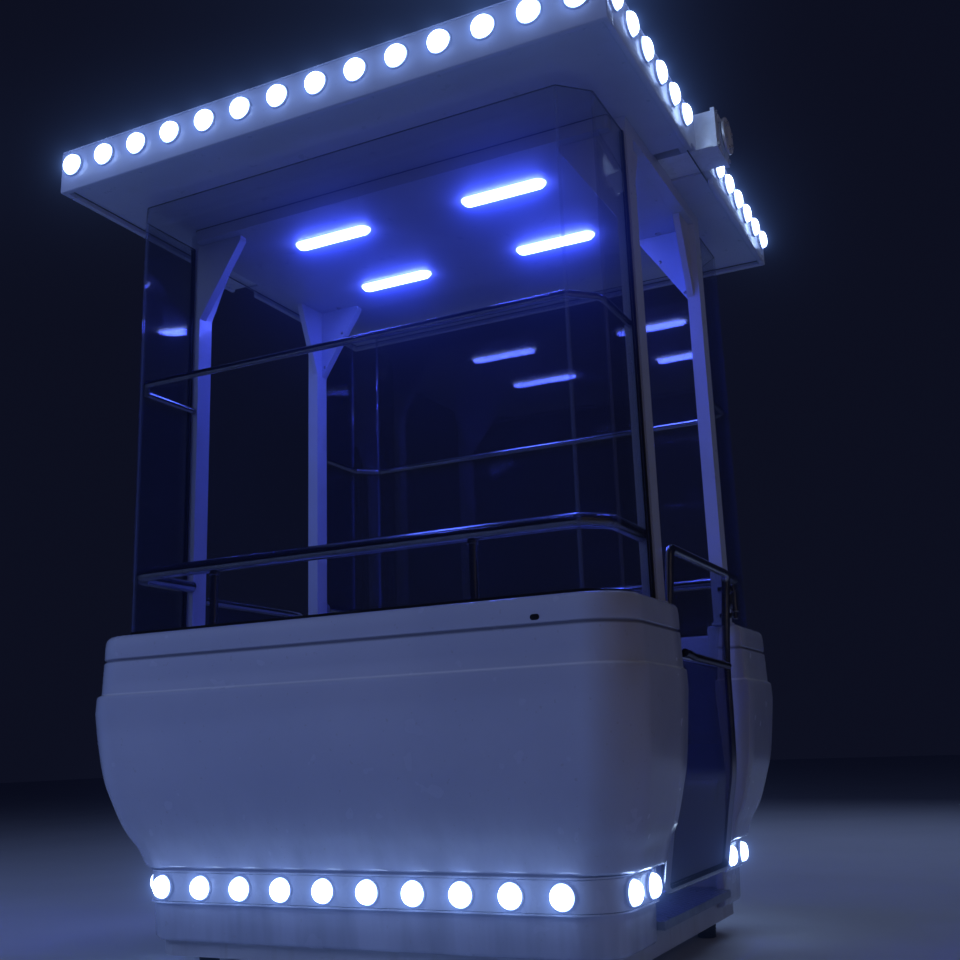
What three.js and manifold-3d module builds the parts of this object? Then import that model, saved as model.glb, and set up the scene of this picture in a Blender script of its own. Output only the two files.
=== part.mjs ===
// Passenger gondola of a ferris wheel: two moulded tub halves, four posts with gussets, a canopy
// lined with lamps, wrap-round clear windows, a gate on each side, and a stub axle on each side.
// Millimetres, +Z up, X along the wheel's axle, front tub towards -Y, origin under the centre.
import * as THREE from "three";
import { mergeVertices } from "three/addons/utils/BufferGeometryUtils.js";
import Module from "manifold-3d";

const wasm = await Module();
wasm.setup();

// Canopy
const CANOPY_HALF_X = 874;
const CANOPY_HALF_Y = 822;
const FASCIA_BOTTOM = 2230;
const FASCIA_TOP = 2360;
const FASCIA_DEPTH = 45;
const LIP_WIDTH = 18;
const SOFFIT_BOTTOM = 2245;
const SOFFIT_TOP = 2252;
const CEILING_HALF_X = 715.7;
const CEILING_HALF_Y = 397;
const CEILING_BOTTOM = 2206;
const ROOF_CROWN = 24;
const ROOF_SLOPE_RUN = 330;

// Lamps: domed caps, evenly spaced; the rows along the front and the back stand a little off centre
const LAMP_Z = 2310;
const LAMP_RADIUS = 34;
const LAMP_CROWN_RADIUS = 21;
const LAMP_HEIGHT = 23;
const LAMP_SIDES = 10;
const LONG_ROW_COUNT = 14;
const LONG_ROW_PITCH = 125;
const ROW_SHIFT = -12;
const SIDE_ROW_PITCH = 119.2;
const SIDE_ROW_FIRST = 178.8;
const SIDE_ROW_COUNT = 6;
const BAND_LAMP_Z = 233;
const BAND_LAMP_RADIUS = 32;
const BAND_ROW_COUNT = 10;
const BAND_ROW_PITCH = 127.7;
const BAND_SIDE_LAMPS = [365, 500];

// Ceiling light bars
const BAR_X = 308;
const BAR_Y = 203;
const BAR_LENGTH = 268;
const BAR_WIDTH = 42;
const BAR_BOTTOM = 2191;

// Posts, gussets and door headers
const POST_X = 736;
const POST_Y = 335;
const POST_WIDTH = 40;
const POST_DEPTH = 60;
const WEDGE_APEX = 1950;
const WEDGE_INNER_X = 557;
const WEDGE_THICK = 30;
const PLATE_APEX = 1932;
const PLATE_INNER_Y = 205;
const PLATE_THICK = 20;
const HEADER_BOTTOM = 2206;
const FOOT_PLATE_THICK = 8;

// Tub: half width (x), half length (y) and corner radius of the outer skin at each height
const RIM_Z = 900;
const TUB_BOTTOM = 95;
const TUB_END_Y = 315;
const OUTER_PROFILE = [
  [TUB_BOTTOM, 675, 585, 105],
  [105, 681, 592, 110],
  [190, 683.5, 599.5, 113],
  [276, 683.5, 599.5, 113],
  [278, 712, 602, 118],
  [286, 719, 606, 120],
  [330, 729, 625, 120],
  [360, 747, 645, 120],
  [410, 762, 670, 120],
  [465, 775, 690, 120],
  [510, 786, 705, 120],
  [600, 795, 722, 120],
  [690, 803, 730, 120],
  [737, 801, 725, 120],
  [741, 794, 717, 118],
  [827, 792, 714, 118],
  [828, 787, 709, 114],
  [834, 787, 709, 114],
  [835, 791.5, 713.5, 118],
  [884, 791, 712, 118],
  [895, 786, 707, 114],
  [RIM_Z, 775, 696, 105],
];
const INNER_PROFILE = [
  [TUB_BOTTOM - 5, 657, 567, 90],
  [300, 657, 567, 90],
  [450, 690, 610, 75],
  [RIM_Z + 5, 690, 610, 60],
];

// Lamp band round the foot of each tub half
const BAND_BOTTOM = 192;
const BAND_TOP = 274;
const BAND_HALF_X = 692;
const BAND_HALF_Y = 608;
const BAND_RADIUS = 120;

// Base
const FOOT_RADIUS = 30;
const FOOT_HEIGHT = 55;
const FOOT_X = 595;
const FOOT_Y = 400;
const PAN_TOP = 125;
const FIT = 0.4;
const FLOOR_TOP = 145;
const SILL_REACH_X = 700;

// Seats
const SEAT_TOP = 450;
const SEAT_FRONT_Y = 300;
const SEAT_BACK_Y = 590;

// Windows and rails
const GLASS_THICK = 6;
const GLASS_X = 748;
const GLASS_Y = 667;
const GLASS_CUT = 75;
const GLASS_TOP = 2200;
const HANDRAIL_Z = 1075;
const HANDRAIL_RADIUS = 19;
const HANDRAIL_X = 722;
const HANDRAIL_Y = 640;
const HANDRAIL_CUT = 60;
const UPPER_RAIL_Z = 1638;
const UPPER_RAIL_RADIUS = 10;
const UPPER_RAIL_X = 731;
const UPPER_RAIL_Y = 650;
const UPPER_RAIL_CUT = 66;
const STANCHION_X = 396;
const STANCHION_RADIUS = 12;

// Gates, right one; the left one is its mirror image
const GATE_LINE = [
  [1048, 770],
  [901, 758],
  [778, 750],
  [640, 748],
  [480, 742],
  [367, 722],
  [257, 704],
  [212, 696],
];
const GATE_TOP_Z = GATE_LINE[0][0];
const GATE_MID_Z = GATE_LINE[2][0];
const GATE_BOTTOM_Z = GATE_LINE[7][0];
const GATE_TUBE = 12.5;
const MID_BAR_RADIUS = 9;
const HINGE_X = 785;
const HINGE_Y = 297;
const HINGE_ROD = 6;
const KNUCKLE = 10.5;
const KNUCKLE_BORE = 6.6;
const HINGE_STILE_Y = 280;
const LATCH_STILE_Y = -286;
const PANE_THICK = 5;
const KNUCKLE_Z = 965;
const KNUCKLE_LENGTH = 60;
const LUG_HEIGHTS = [925, 1005];
const GRAB_Z = 776;
const GRAB_RADIUS = 10;
const GRAB_STANDOFF = 26;

// Pivot: a beam reaches out through each side fascia to a housing, with a stub axle that turns in it
const PIVOT_Z = 2309;
const SLOT_HALF_Y = 118;
const BEAM_INNER_X = 640;
const BEAM_TOP = 2335;
const HOUSING_HALF_Y = 67;
const HOUSING_BOTTOM = 2252.3;
const HOUSING_TOP = 2367;
const HOUSING_END_X = 927;
const RIM_PLATE_END_X = 938;
const RIM_PLATE_OVER = 6;
const BOSS_END_X = 945;
const BOSS_RADIUS = 45;
const AXLE_RADIUS = 26;
const BORE_RADIUS = 26.6;
const FLANGE_RADIUS = 55;
const FLANGE_THICK = 12;
const FLANGE_OUTER_X = 962;

const GAP = 0.3;

const paint = (color, roughness = 0.35, metalness = 0) =>
  new THREE.MeshStandardMaterial({ color, roughness, metalness, flatShading: true });
const WHITE = paint(0xdfe3ee);
const GELCOAT = paint(0xd5d9e6, 0.25);
const STEEL = paint(0x9aa0a8, 0.25, 1);
const GLOW = paint(0xf4fbff, 0.2);
const RUBBER = paint(0x17181b, 0.8);
const PLATE = paint(0x8d939b, 0.45, 1);
const CLEAR = new THREE.MeshStandardMaterial({
  color: 0xbfd0e8,
  roughness: 0.05,
  transparent: true,
  opacity: 0.3,
});

// Closed geometry to solid, and back
function solid(geometry) {
  const bare = new THREE.BufferGeometry();
  bare.setAttribute("position", geometry.getAttribute("position"));
  if (geometry.index) bare.setIndex(geometry.index);
  const merged = mergeVertices(bare, 1e-3);
  return new wasm.Manifold(
    new wasm.Mesh({
      numProp: 3,
      vertProperties: new Float32Array(merged.attributes.position.array),
      triVerts: new Uint32Array(merged.index.array),
    }),
  );
}

function shell(body) {
  const mesh = body.getMesh();
  const geometry = new THREE.BufferGeometry();
  const points = new Float32Array(mesh.numVert * 3);
  for (let i = 0; i < mesh.numVert; i++) {
    const from = i * mesh.numProp;
    points.set(mesh.vertProperties.subarray(from, from + 3), i * 3);
  }
  geometry.setAttribute("position", new THREE.BufferAttribute(points, 3));
  geometry.setIndex(new THREE.BufferAttribute(new Uint32Array(mesh.triVerts), 1));
  geometry.computeVertexNormals();
  return geometry;
}

const join = (parts) => parts.map(solid).reduce((sum, next) => sum.add(next));

// Basic shapes
function box(x0, x1, y0, y1, z0, z1) {
  const size = [x1 - x0, y1 - y0, z1 - z0];
  return new THREE.BoxGeometry(...size).translate((x0 + x1) / 2, (y0 + y1) / 2, (z0 + z1) / 2);
}

function roundedRect(halfX, halfY, radius) {
  const shape = new THREE.Shape();
  const cx = halfX - radius;
  const cy = halfY - radius;
  shape.absarc(cx, -cy, radius, -Math.PI / 2, 0);
  shape.absarc(cx, cy, radius, 0, Math.PI / 2);
  shape.absarc(-cx, cy, radius, Math.PI / 2, Math.PI);
  shape.absarc(-cx, -cy, radius, Math.PI, 1.5 * Math.PI);
  shape.closePath();
  return shape;
}

function slab(shape, z0, z1, curveSegments = 5) {
  const options = { depth: z1 - z0, bevelEnabled: false, curveSegments };
  return new THREE.ExtrudeGeometry(shape, options).translate(0, 0, z0);
}

const rod = (radius, length, sides) =>
  new THREE.CylinderGeometry(radius, radius, length, sides).rotateX(Math.PI / 2);

function polygonShape(radius, sides) {
  const points = [];
  for (let i = 0; i < sides; i++) {
    const angle = ((i + 0.5) / sides) * 2 * Math.PI;
    points.push(new THREE.Vector2(radius * Math.cos(angle), radius * Math.sin(angle)));
  }
  return new THREE.Shape(points);
}

// A path that passes through its points at even steps of the parameter
class BentPath extends THREE.Curve {
  constructor(points) {
    super();
    this.points = points;
  }
  getPoint(t, target = new THREE.Vector3()) {
    const at = Math.min(Math.max(t, 0), 1) * (this.points.length - 1);
    const i = Math.min(Math.floor(at), this.points.length - 2);
    return target.lerpVectors(this.points[i], this.points[i + 1], at - i);
  }
  getPointAt(u, target) {
    return this.getPoint(u, target);
  }
  getTangentAt(u, target) {
    return this.getTangent(u, target);
  }
}

function tube(points, radius, sides = 10) {
  const path = new BentPath(points.map((p) => new THREE.Vector3(...p)));
  return new THREE.ExtrudeGeometry(polygonShape(radius, sides), {
    steps: points.length - 1,
    extrudePath: path,
    bevelEnabled: false,
  });
}

// Stack of rounded rectangles, closed at both ends
const CORNER_STEPS = 7;

function sectionRing([z, halfX, halfY, radius]) {
  const ring = [];
  const corners = [
    [halfX - radius, radius - halfY, -90],
    [halfX - radius, halfY - radius, 0],
    [radius - halfX, halfY - radius, 90],
    [radius - halfX, radius - halfY, 180],
  ];
  for (const [cx, cy, start] of corners) {
    for (let i = 0; i <= CORNER_STEPS; i++) {
      const angle = THREE.MathUtils.degToRad(start + (90 * i) / CORNER_STEPS);
      ring.push([cx + radius * Math.cos(angle), cy + radius * Math.sin(angle), z]);
    }
  }
  return ring;
}

function loft(profile) {
  const rings = profile.map(sectionRing);
  const count = rings[0].length;
  const points = rings.flat(2);
  const faces = [];
  for (let level = 0; level + 1 < rings.length; level++) {
    for (let i = 0; i < count; i++) {
      const a = level * count + i;
      const b = level * count + ((i + 1) % count);
      faces.push(a, b, b + count, a, b + count, a + count);
    }
  }
  const top = (rings.length - 1) * count;
  for (let i = 1; i + 1 < count; i++) {
    faces.push(0, i + 1, i);
    faces.push(top, top + i, top + i + 1);
  }
  const geometry = new THREE.BufferGeometry();
  geometry.setAttribute("position", new THREE.Float32BufferAttribute(points, 3));
  geometry.setIndex(faces);
  return geometry;
}

// The part, and how a mesh joins it
const gondola = new THREE.Group();

function place(name, body, material, parent = gondola) {
  const geometry = body instanceof THREE.BufferGeometry ? body : shell(body);
  const mesh = new THREE.Mesh(geometry, material);
  mesh.name = name;
  parent.add(mesh);
  return mesh;
}

// A lamp cap whose base centre is at point, looking along the horizontal direction
function lampCap(point, direction, radius = LAMP_RADIUS) {
  const sink = 1;
  const crown = (LAMP_CROWN_RADIUS * radius) / LAMP_RADIUS;
  const cap = new THREE.CylinderGeometry(crown, radius, LAMP_HEIGHT + sink, LAMP_SIDES);
  cap.translate(0, (LAMP_HEIGHT - sink) / 2, 0);
  const turn = new THREE.Quaternion().setFromUnitVectors(
    new THREE.Vector3(0, 1, 0),
    new THREE.Vector3(...direction).normalize(),
  );
  cap.applyQuaternion(turn);
  return cap.translate(...point);
}

function makeBase() {
  const [, wallX, wallY, wallRadius] = INNER_PROFILE[0];
  const plan = [wallX - FIT, wallY - FIT, wallRadius - FIT];
  const layer = (low, high) => loft([[low, ...plan], [high, ...plan]]);
  place("base_pan", layer(FOOT_HEIGHT + GAP, PAN_TOP - GAP), WHITE);
  const floor = solid(layer(PAN_TOP, FLOOR_TOP));
  const sillY = TUB_END_Y - 3;
  const sill = solid(box(-SILL_REACH_X, SILL_REACH_X, -sillY, sillY, PAN_TOP, FLOOR_TOP));
  place("floor_plate", floor.add(sill), PLATE);
  for (const [side, x] of [["left", -FOOT_X], ["right", FOOT_X]]) {
    for (const [end, y] of [["front", -FOOT_Y], ["back", FOOT_Y]]) {
      const foot = new THREE.CylinderGeometry(FOOT_RADIUS, FOOT_RADIUS - 4, FOOT_HEIGHT, 16);
      foot.rotateX(Math.PI / 2).translate(x, y, FOOT_HEIGHT / 2);
      place(`foot_${end}_${side}`, foot, RUBBER);
    }
  }
}

function makeTubs() {
  const ring = solid(loft(OUTER_PROFILE)).subtract(solid(loft(INNER_PROFILE)));
  for (const [end, sign] of [["front", -1], ["back", 1]]) {
    const reach = [TUB_END_Y * sign, 900 * sign].sort((a, b) => a - b);
    const half = ring.intersect(solid(box(-900, 900, ...reach, 0, 1000)));
    place(`${end}_tub`, half, GELCOAT);
    place(`${end}_lamp_band`, lampBand(sign, reach), GLOW);
    place(`${end}_seat`, seat(sign), GELCOAT);
  }
}

// Strip with its lamp caps, for the tub half on one side of the doors
function lampBand(sign, reach) {
  const shape = roundedRect(BAND_HALF_X, BAND_HALF_Y, BAND_RADIUS);
  const inner = new THREE.Path();
  const [, skinX, skinY, skinRadius] = OUTER_PROFILE[3];
  inner.setFromPoints(roundedRect(skinX + GAP, skinY + GAP, skinRadius).getPoints(8));
  shape.holes.push(inner);
  const strip = solid(slab(shape, BAND_BOTTOM, BAND_TOP, 8));
  let band = strip.intersect(solid(box(-900, 900, ...reach, 0, 1000)));
  for (const [point, direction] of bandLamps(sign)) {
    band = band.add(solid(lampCap(point, direction, BAND_LAMP_RADIUS)));
  }
  return band;
}

// Where each lamp stands on the band, and the way it looks
function bandLamps(sign) {
  const lamps = [];
  const onCorner = (along, half) => {
    const over = Math.max(0, Math.abs(along) - (half - BAND_RADIUS));
    const angle = Math.asin(over / BAND_RADIUS);
    return [angle, BAND_RADIUS * (1 - Math.cos(angle))];
  };
  for (let i = 0; i < BAND_ROW_COUNT; i++) {
    const x = ROW_SHIFT + (i - (BAND_ROW_COUNT - 1) / 2) * BAND_ROW_PITCH;
    const [angle, drop] = onCorner(x, BAND_HALF_X);
    const direction = [Math.sign(x) * Math.sin(angle), sign * Math.cos(angle), 0];
    lamps.push([[x, sign * (BAND_HALF_Y - drop), BAND_LAMP_Z], direction]);
  }
  for (const side of [-1, 1]) {
    for (const distance of BAND_SIDE_LAMPS) {
      const [angle, drop] = onCorner(distance, BAND_HALF_Y);
      const direction = [side * Math.cos(angle), sign * Math.sin(angle), 0];
      lamps.push([[side * (BAND_HALF_X - drop), sign * distance, BAND_LAMP_Z], direction]);
    }
  }
  return lamps;
}

// Moulded bench along the tub's end, with a rounded nose and a seat that tips back a little
function seat(sign) {
  const profile = new THREE.Shape();
  profile.moveTo(SEAT_BACK_Y, FLOOR_TOP + GAP);
  profile.lineTo(SEAT_FRONT_Y + 55, FLOOR_TOP + GAP);
  profile.lineTo(SEAT_FRONT_Y, SEAT_TOP - 40);
  profile.quadraticCurveTo(SEAT_FRONT_Y - 4, SEAT_TOP, SEAT_FRONT_Y + 40, SEAT_TOP);
  profile.lineTo(SEAT_BACK_Y, SEAT_TOP - 22);
  profile.closePath();
  const widest = INNER_PROFILE[2][1];
  const bench = new THREE.ExtrudeGeometry(profile, {
    depth: 2 * widest,
    bevelEnabled: false,
    curveSegments: 5,
  });
  // The profile's x runs out along +Y and its y up along +Z
  const axes = new THREE.Matrix4().makeBasis(
    new THREE.Vector3(0, 1, 0),
    new THREE.Vector3(0, 0, 1),
    new THREE.Vector3(1, 0, 0),
  );
  bench.applyMatrix4(axes).translate(-widest, 0, 0);
  if (sign < 0) bench.rotateZ(Math.PI);
  const room = INNER_PROFILE.map(([z, x, y, radius]) => [z, x - FIT, y - FIT, radius - FIT]);
  return solid(bench).intersect(solid(loft(room)));
}

// One post: a flat-sided tube with a foot plate, a wedge towards the middle and a plate towards the door
function post(sideX, signY) {
  const x = sideX * POST_X;
  const y = signY * POST_Y;
  const top = SOFFIT_BOTTOM - GAP;
  const foot = RIM_Z + GAP;
  const halfW = POST_WIDTH / 2;
  const halfD = POST_DEPTH / 2;
  const parts = [
    box(x - halfW, x + halfW, y - halfD, y + halfD, foot, top),
    box(x - halfW - 7, x + halfW + 7, y - halfD, y + halfD, foot, foot + FOOT_PLATE_THICK),
  ];
  const wedge = gusset(POST_X - WEDGE_INNER_X, WEDGE_APEX, CEILING_BOTTOM - GAP, WEDGE_THICK);
  const endFace = signY * (POST_Y + halfD - WEDGE_THICK / 2);
  parts.push(wedge.rotateZ(sideX > 0 ? Math.PI : 0).translate(x, endFace, 0));
  const plate = gusset(POST_Y - PLATE_INNER_Y, PLATE_APEX, HEADER_BOTTOM - GAP, PLATE_THICK);
  const innerFace = x - sideX * (halfW - PLATE_THICK / 2);
  parts.push(plate.rotateZ(signY > 0 ? -Math.PI / 2 : Math.PI / 2).translate(innerFace, y, 0));
  return join(parts);
}

// Triangular plate in the XZ plane, from the post's centre line out along +X
function gusset(reach, apex, top, thick) {
  const shape = new THREE.Shape();
  shape.moveTo(0, top);
  shape.lineTo(0, apex);
  shape.lineTo(POST_WIDTH / 2, apex);
  shape.lineTo(reach, top - 14);
  shape.lineTo(reach, top);
  shape.closePath();
  const plate = new THREE.ExtrudeGeometry(shape, { depth: thick, bevelEnabled: false });
  return plate.rotateX(Math.PI / 2).translate(0, thick / 2, 0);
}

function makeFrame() {
  for (const [side, sideX] of [["left", -1], ["right", 1]]) {
    for (const [end, signY] of [["front", -1], ["back", 1]]) {
      place(`post_${end}_${side}`, post(sideX, signY), WHITE);
    }
    // Rail over the doorway, from post to post
    const reach = POST_Y - POST_DEPTH / 2 - GAP;
    const inside = sideX * POST_X - POST_WIDTH / 2;
    const outside = inside + POST_WIDTH;
    const high = SOFFIT_BOTTOM - GAP;
    place(`header_${side}`, box(inside, outside, -reach, reach, HEADER_BOTTOM, high), WHITE);
  }
}

function makeCanopy() {
  const outerX = CANOPY_HALF_X;
  const outerY = CANOPY_HALF_Y;
  // Inside the lip the canopy is hollowed up to the soffit sheet's top
  const hollowX = outerX - LIP_WIDTH;
  const hollowY = outerY - LIP_WIDTH;
  const hollowTop = SOFFIT_TOP + GAP;
  const hollow = solid(box(-hollowX, hollowX, -hollowY, hollowY, FASCIA_BOTTOM - 1, hollowTop));
  for (const [end, sign] of [["front", -1], ["back", 1]]) {
    const faces = [sign * outerY, sign * (outerY - FASCIA_DEPTH)].sort((a, b) => a - b);
    let beam = solid(box(-outerX, outerX, ...faces, FASCIA_BOTTOM, FASCIA_TOP)).subtract(hollow);
    for (let i = 0; i < LONG_ROW_COUNT; i++) {
      const x = ROW_SHIFT + (i - (LONG_ROW_COUNT - 1) / 2) * LONG_ROW_PITCH;
      beam = beam.add(solid(lampCap([x, sign * outerY, LAMP_Z], [0, sign, 0])));
    }
    place(`fascia_${end}`, beam, WHITE);
  }
  for (const [side, sign] of [["left", -1], ["right", 1]]) {
    const faces = [sign * outerX, sign * (outerX - FASCIA_DEPTH)].sort((a, b) => a - b);
    const innerY = outerY - FASCIA_DEPTH;
    const end = innerY - GAP;
    let beam = solid(box(...faces, -end, end, FASCIA_BOTTOM, FASCIA_TOP)).subtract(hollow);
    for (const [halfY, top] of [[SLOT_HALF_Y, hollowTop], [HOUSING_HALF_Y + GAP, BEAM_TOP + GAP]]) {
      beam = beam.subtract(solid(box(-outerX - 1, outerX + 1, -halfY, halfY, FASCIA_BOTTOM - 1, top)));
    }
    for (let i = 0; i < SIDE_ROW_COUNT; i++) {
      for (const half of [-1, 1]) {
        const y = half * (SIDE_ROW_FIRST + i * SIDE_ROW_PITCH);
        beam = beam.add(solid(lampCap([sign * outerX, y, LAMP_Z], [sign, 0, 0])));
      }
    }
    // The end lamps stand partly over the long fascias' ends, and clear them
    const clearX = outerX + GAP;
    for (const ends of [[-outerY, -innerY + GAP], [innerY - GAP, outerY]]) {
      beam = beam.subtract(solid(box(-clearX, clearX, ...ends, FASCIA_BOTTOM, FASCIA_TOP)));
    }
    place(`fascia_${side}`, beam, WHITE);
    place(`pivot_housing_${side}`, pivotHousing(sign), WHITE);
  }
  makeCeiling();
}

function makeCeiling() {
  const halfX = CANOPY_HALF_X - LIP_WIDTH - GAP;
  const halfY = CANOPY_HALF_Y - LIP_WIDTH - GAP;
  let sheet = solid(box(-halfX, halfX, -halfY, halfY, SOFFIT_BOTTOM, SOFFIT_TOP));
  // A slot beside each header shows the pivot beam, and is open on the front side of it
  const slotX = POST_X + POST_WIDTH / 2;
  const slot = [-SLOT_HALF_Y, HOUSING_HALF_Y + GAP, SOFFIT_BOTTOM - 1, SOFFIT_TOP + 1];
  for (const reach of [[slotX, halfX + 1], [-halfX - 1, -slotX]]) {
    sheet = sheet.subtract(solid(box(...reach, ...slot)));
  }
  place("soffit", sheet, WHITE);
  const ceilingZ = [CEILING_BOTTOM, SOFFIT_BOTTOM - GAP];
  place("ceiling_panel", slab(roundedRect(CEILING_HALF_X, CEILING_HALF_Y, 12), ...ceilingZ), WHITE);
  const barTop = CEILING_BOTTOM - GAP;
  for (const [end, y] of [["front", -BAR_Y], ["back", BAR_Y]]) {
    for (const [side, x] of [["left", -BAR_X], ["right", BAR_X]]) {
      const outline = roundedRect(BAR_LENGTH / 2, BAR_WIDTH / 2, BAR_WIDTH / 2 - 1);
      place(`light_bar_${end}_${side}`, slab(outline, BAR_BOTTOM, barTop).translate(x, y, 0), GLOW);
    }
  }
  // Hipped sheet roof, laid on the fascias
  const z = FASCIA_TOP + GAP;
  const roof = [
    [z, CANOPY_HALF_X, CANOPY_HALF_Y, 6],
    [z + 4, CANOPY_HALF_X, CANOPY_HALF_Y, 6],
    [z + ROOF_CROWN, CANOPY_HALF_X - ROOF_SLOPE_RUN, CANOPY_HALF_Y - ROOF_SLOPE_RUN, 6],
  ];
  place("roof_panel", loft(roof), WHITE);
}

// The beam runs in over the soffit sheet; the housing stands on the outside of the fascia
function pivotHousing(sign) {
  const inner = CANOPY_HALF_X + GAP;
  const side = HOUSING_HALF_Y;
  const rim = side + RIM_PLATE_OVER;
  const rimZ = [HOUSING_BOTTOM - RIM_PLATE_OVER, HOUSING_TOP + RIM_PLATE_OVER];
  const boss = rod(BOSS_RADIUS, BOSS_END_X - HOUSING_END_X, 32).rotateY(Math.PI / 2);
  boss.translate((BOSS_END_X + HOUSING_END_X) / 2, 0, PIVOT_Z);
  const outside = join([
    box(BEAM_INNER_X, inner + 5, -side, side, HOUSING_BOTTOM, BEAM_TOP),
    box(inner, HOUSING_END_X, -side, side, HOUSING_BOTTOM, HOUSING_TOP),
    box(HOUSING_END_X - 1, RIM_PLATE_END_X, -rim, rim, ...rimZ),
    boss,
  ]);
  const boreStart = CANOPY_HALF_X - 5;
  const bore = rod(BORE_RADIUS, BOSS_END_X + 5 - boreStart, 32).rotateY(Math.PI / 2);
  bore.translate((boreStart + BOSS_END_X + 5) / 2, 0, PIVOT_Z);
  const housing = outside.subtract(solid(bore));
  return sign > 0 ? housing : mirrored(housing);
}

function hub(sign) {
  const start = CANOPY_HALF_X + 6;
  const flangeStart = FLANGE_OUTER_X - FLANGE_THICK;
  const length = flangeStart + 1 - start;
  const axle = rod(AXLE_RADIUS, length, 32).rotateY(Math.PI / 2);
  axle.translate(start + length / 2, 0, PIVOT_Z);
  const flange = rod(FLANGE_RADIUS, FLANGE_THICK, 32).rotateY(Math.PI / 2);
  flange.translate(FLANGE_OUTER_X - FLANGE_THICK / 2, 0, PIVOT_Z);
  const whole = join([axle, flange]);
  return sign > 0 ? whole : mirrored(whole);
}

const mirrored = (body) => body.mirror([1, 0, 0]);

// U-shaped plan line round one end of the cabin, with its corners cut: from the left side to the right
function uLine(halfX, halfY, cut, endY, sign) {
  const right = [[halfX, endY], [halfX, halfY - cut], [halfX - cut, halfY]];
  const left = right.map(([x, y]) => [-x, y]);
  return [...left, ...right.reverse()].map(([x, y]) => [x, sign * y]);
}

function windowSheet(sign) {
  const endY = POST_Y + POST_DEPTH / 2 + GAP;
  const innerCut = GLASS_CUT - GLASS_THICK * (2 - Math.SQRT2);
  const outer = uLine(GLASS_X, GLASS_Y, GLASS_CUT, endY, sign);
  const inner = uLine(GLASS_X - GLASS_THICK, GLASS_Y - GLASS_THICK, innerCut, endY, sign).reverse();
  const outline = new THREE.Shape([...outer, ...inner].map((p) => new THREE.Vector2(...p)));
  return slab(outline, RIM_Z + GAP, GLASS_TOP);
}

// Rail inside a window: straight runs with mitred corners, up to endY beside each post
function railLine(halfX, halfY, cut, endY, sign, z) {
  const corner = [
    [halfX, halfY - cut - 6],
    [halfX - 4, halfY - cut],
    [halfX - cut, halfY - 4],
    [halfX - cut - 6, halfY],
  ];
  const right = [[halfX, endY], ...corner];
  const left = right.map(([x, y]) => [-x, y]).reverse();
  return [...right, ...left].map(([x, y]) => [x, sign * y, z]);
}

// Handrail from post to post, on two stanchions that stand on the rim
function handrail(sign) {
  const endY = POST_Y + POST_DEPTH / 2 + GAP;
  const line = railLine(HANDRAIL_X, HANDRAIL_Y, HANDRAIL_CUT, endY, sign, HANDRAIL_Z);
  const parts = [tube(line, HANDRAIL_RADIUS, 12)];
  const low = RIM_Z + GAP;
  const height = HANDRAIL_Z - low;
  for (const x of [ROW_SHIFT - STANCHION_X, ROW_SHIFT + STANCHION_X]) {
    const y = sign * HANDRAIL_Y;
    parts.push(rod(STANCHION_RADIUS, height, 10).translate(x, y, low + height / 2));
    parts.push(rod(STANCHION_RADIUS + 8, 5, 12).translate(x, y, low + 2.5));
  }
  return join(parts);
}

// Thin rail that ends on the posts' outer faces
function upperRail(sign) {
  const endY = POST_Y + POST_DEPTH / 2 + GAP;
  const line = railLine(UPPER_RAIL_X, UPPER_RAIL_Y, UPPER_RAIL_CUT, endY, sign, UPPER_RAIL_Z);
  return solid(tube(line, UPPER_RAIL_RADIUS, 8));
}

function makeWindows() {
  for (const [end, sign] of [["front", -1], ["back", 1]]) {
    place(`${end}_window`, windowSheet(sign), CLEAR);
    place(`${end}_upper_rail`, upperRail(sign), STEEL);
    place(`${end}_handrail`, handrail(sign), STEEL);
  }
}

// The gate's line in the XZ plane, smooth through the points of GATE_LINE
const gateCurve = GATE_LINE.map(([z, x]) => ({ z, x }));

function gateX(z) {
  const last = gateCurve.length - 2;
  const above = gateCurve.findIndex((point, i) => i > 0 && z >= point.z) - 1;
  const i = above < 0 ? last : above;
  const [a, b] = [gateCurve[i], gateCurve[i + 1]];
  const before = gateCurve[i - 1] ?? a;
  const after = gateCurve[i + 2] ?? b;
  const slopeA = (b.x - before.x) / (b.z - before.z);
  const slopeB = (after.x - a.x) / (after.z - a.z);
  const span = b.z - a.z;
  const t = (z - a.z) / span;
  const start = (2 * t ** 3 - 3 * t ** 2 + 1) * a.x + (t ** 3 - 2 * t ** 2 + t) * span * slopeA;
  return start + (3 * t ** 2 - 2 * t ** 3) * b.x + (t ** 3 - t ** 2) * span * slopeB;
}

function gatePoints(low, high, steps) {
  const points = [];
  for (let i = 0; i <= steps; i++) {
    const z = high + ((low - high) * i) / steps;
    points.push([gateX(z), z]);
  }
  return points;
}

const upperLine = (low, high) => gatePoints(low, high, 3);
const lowerLine = (low, high) => gatePoints(low, high, 10);

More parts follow.
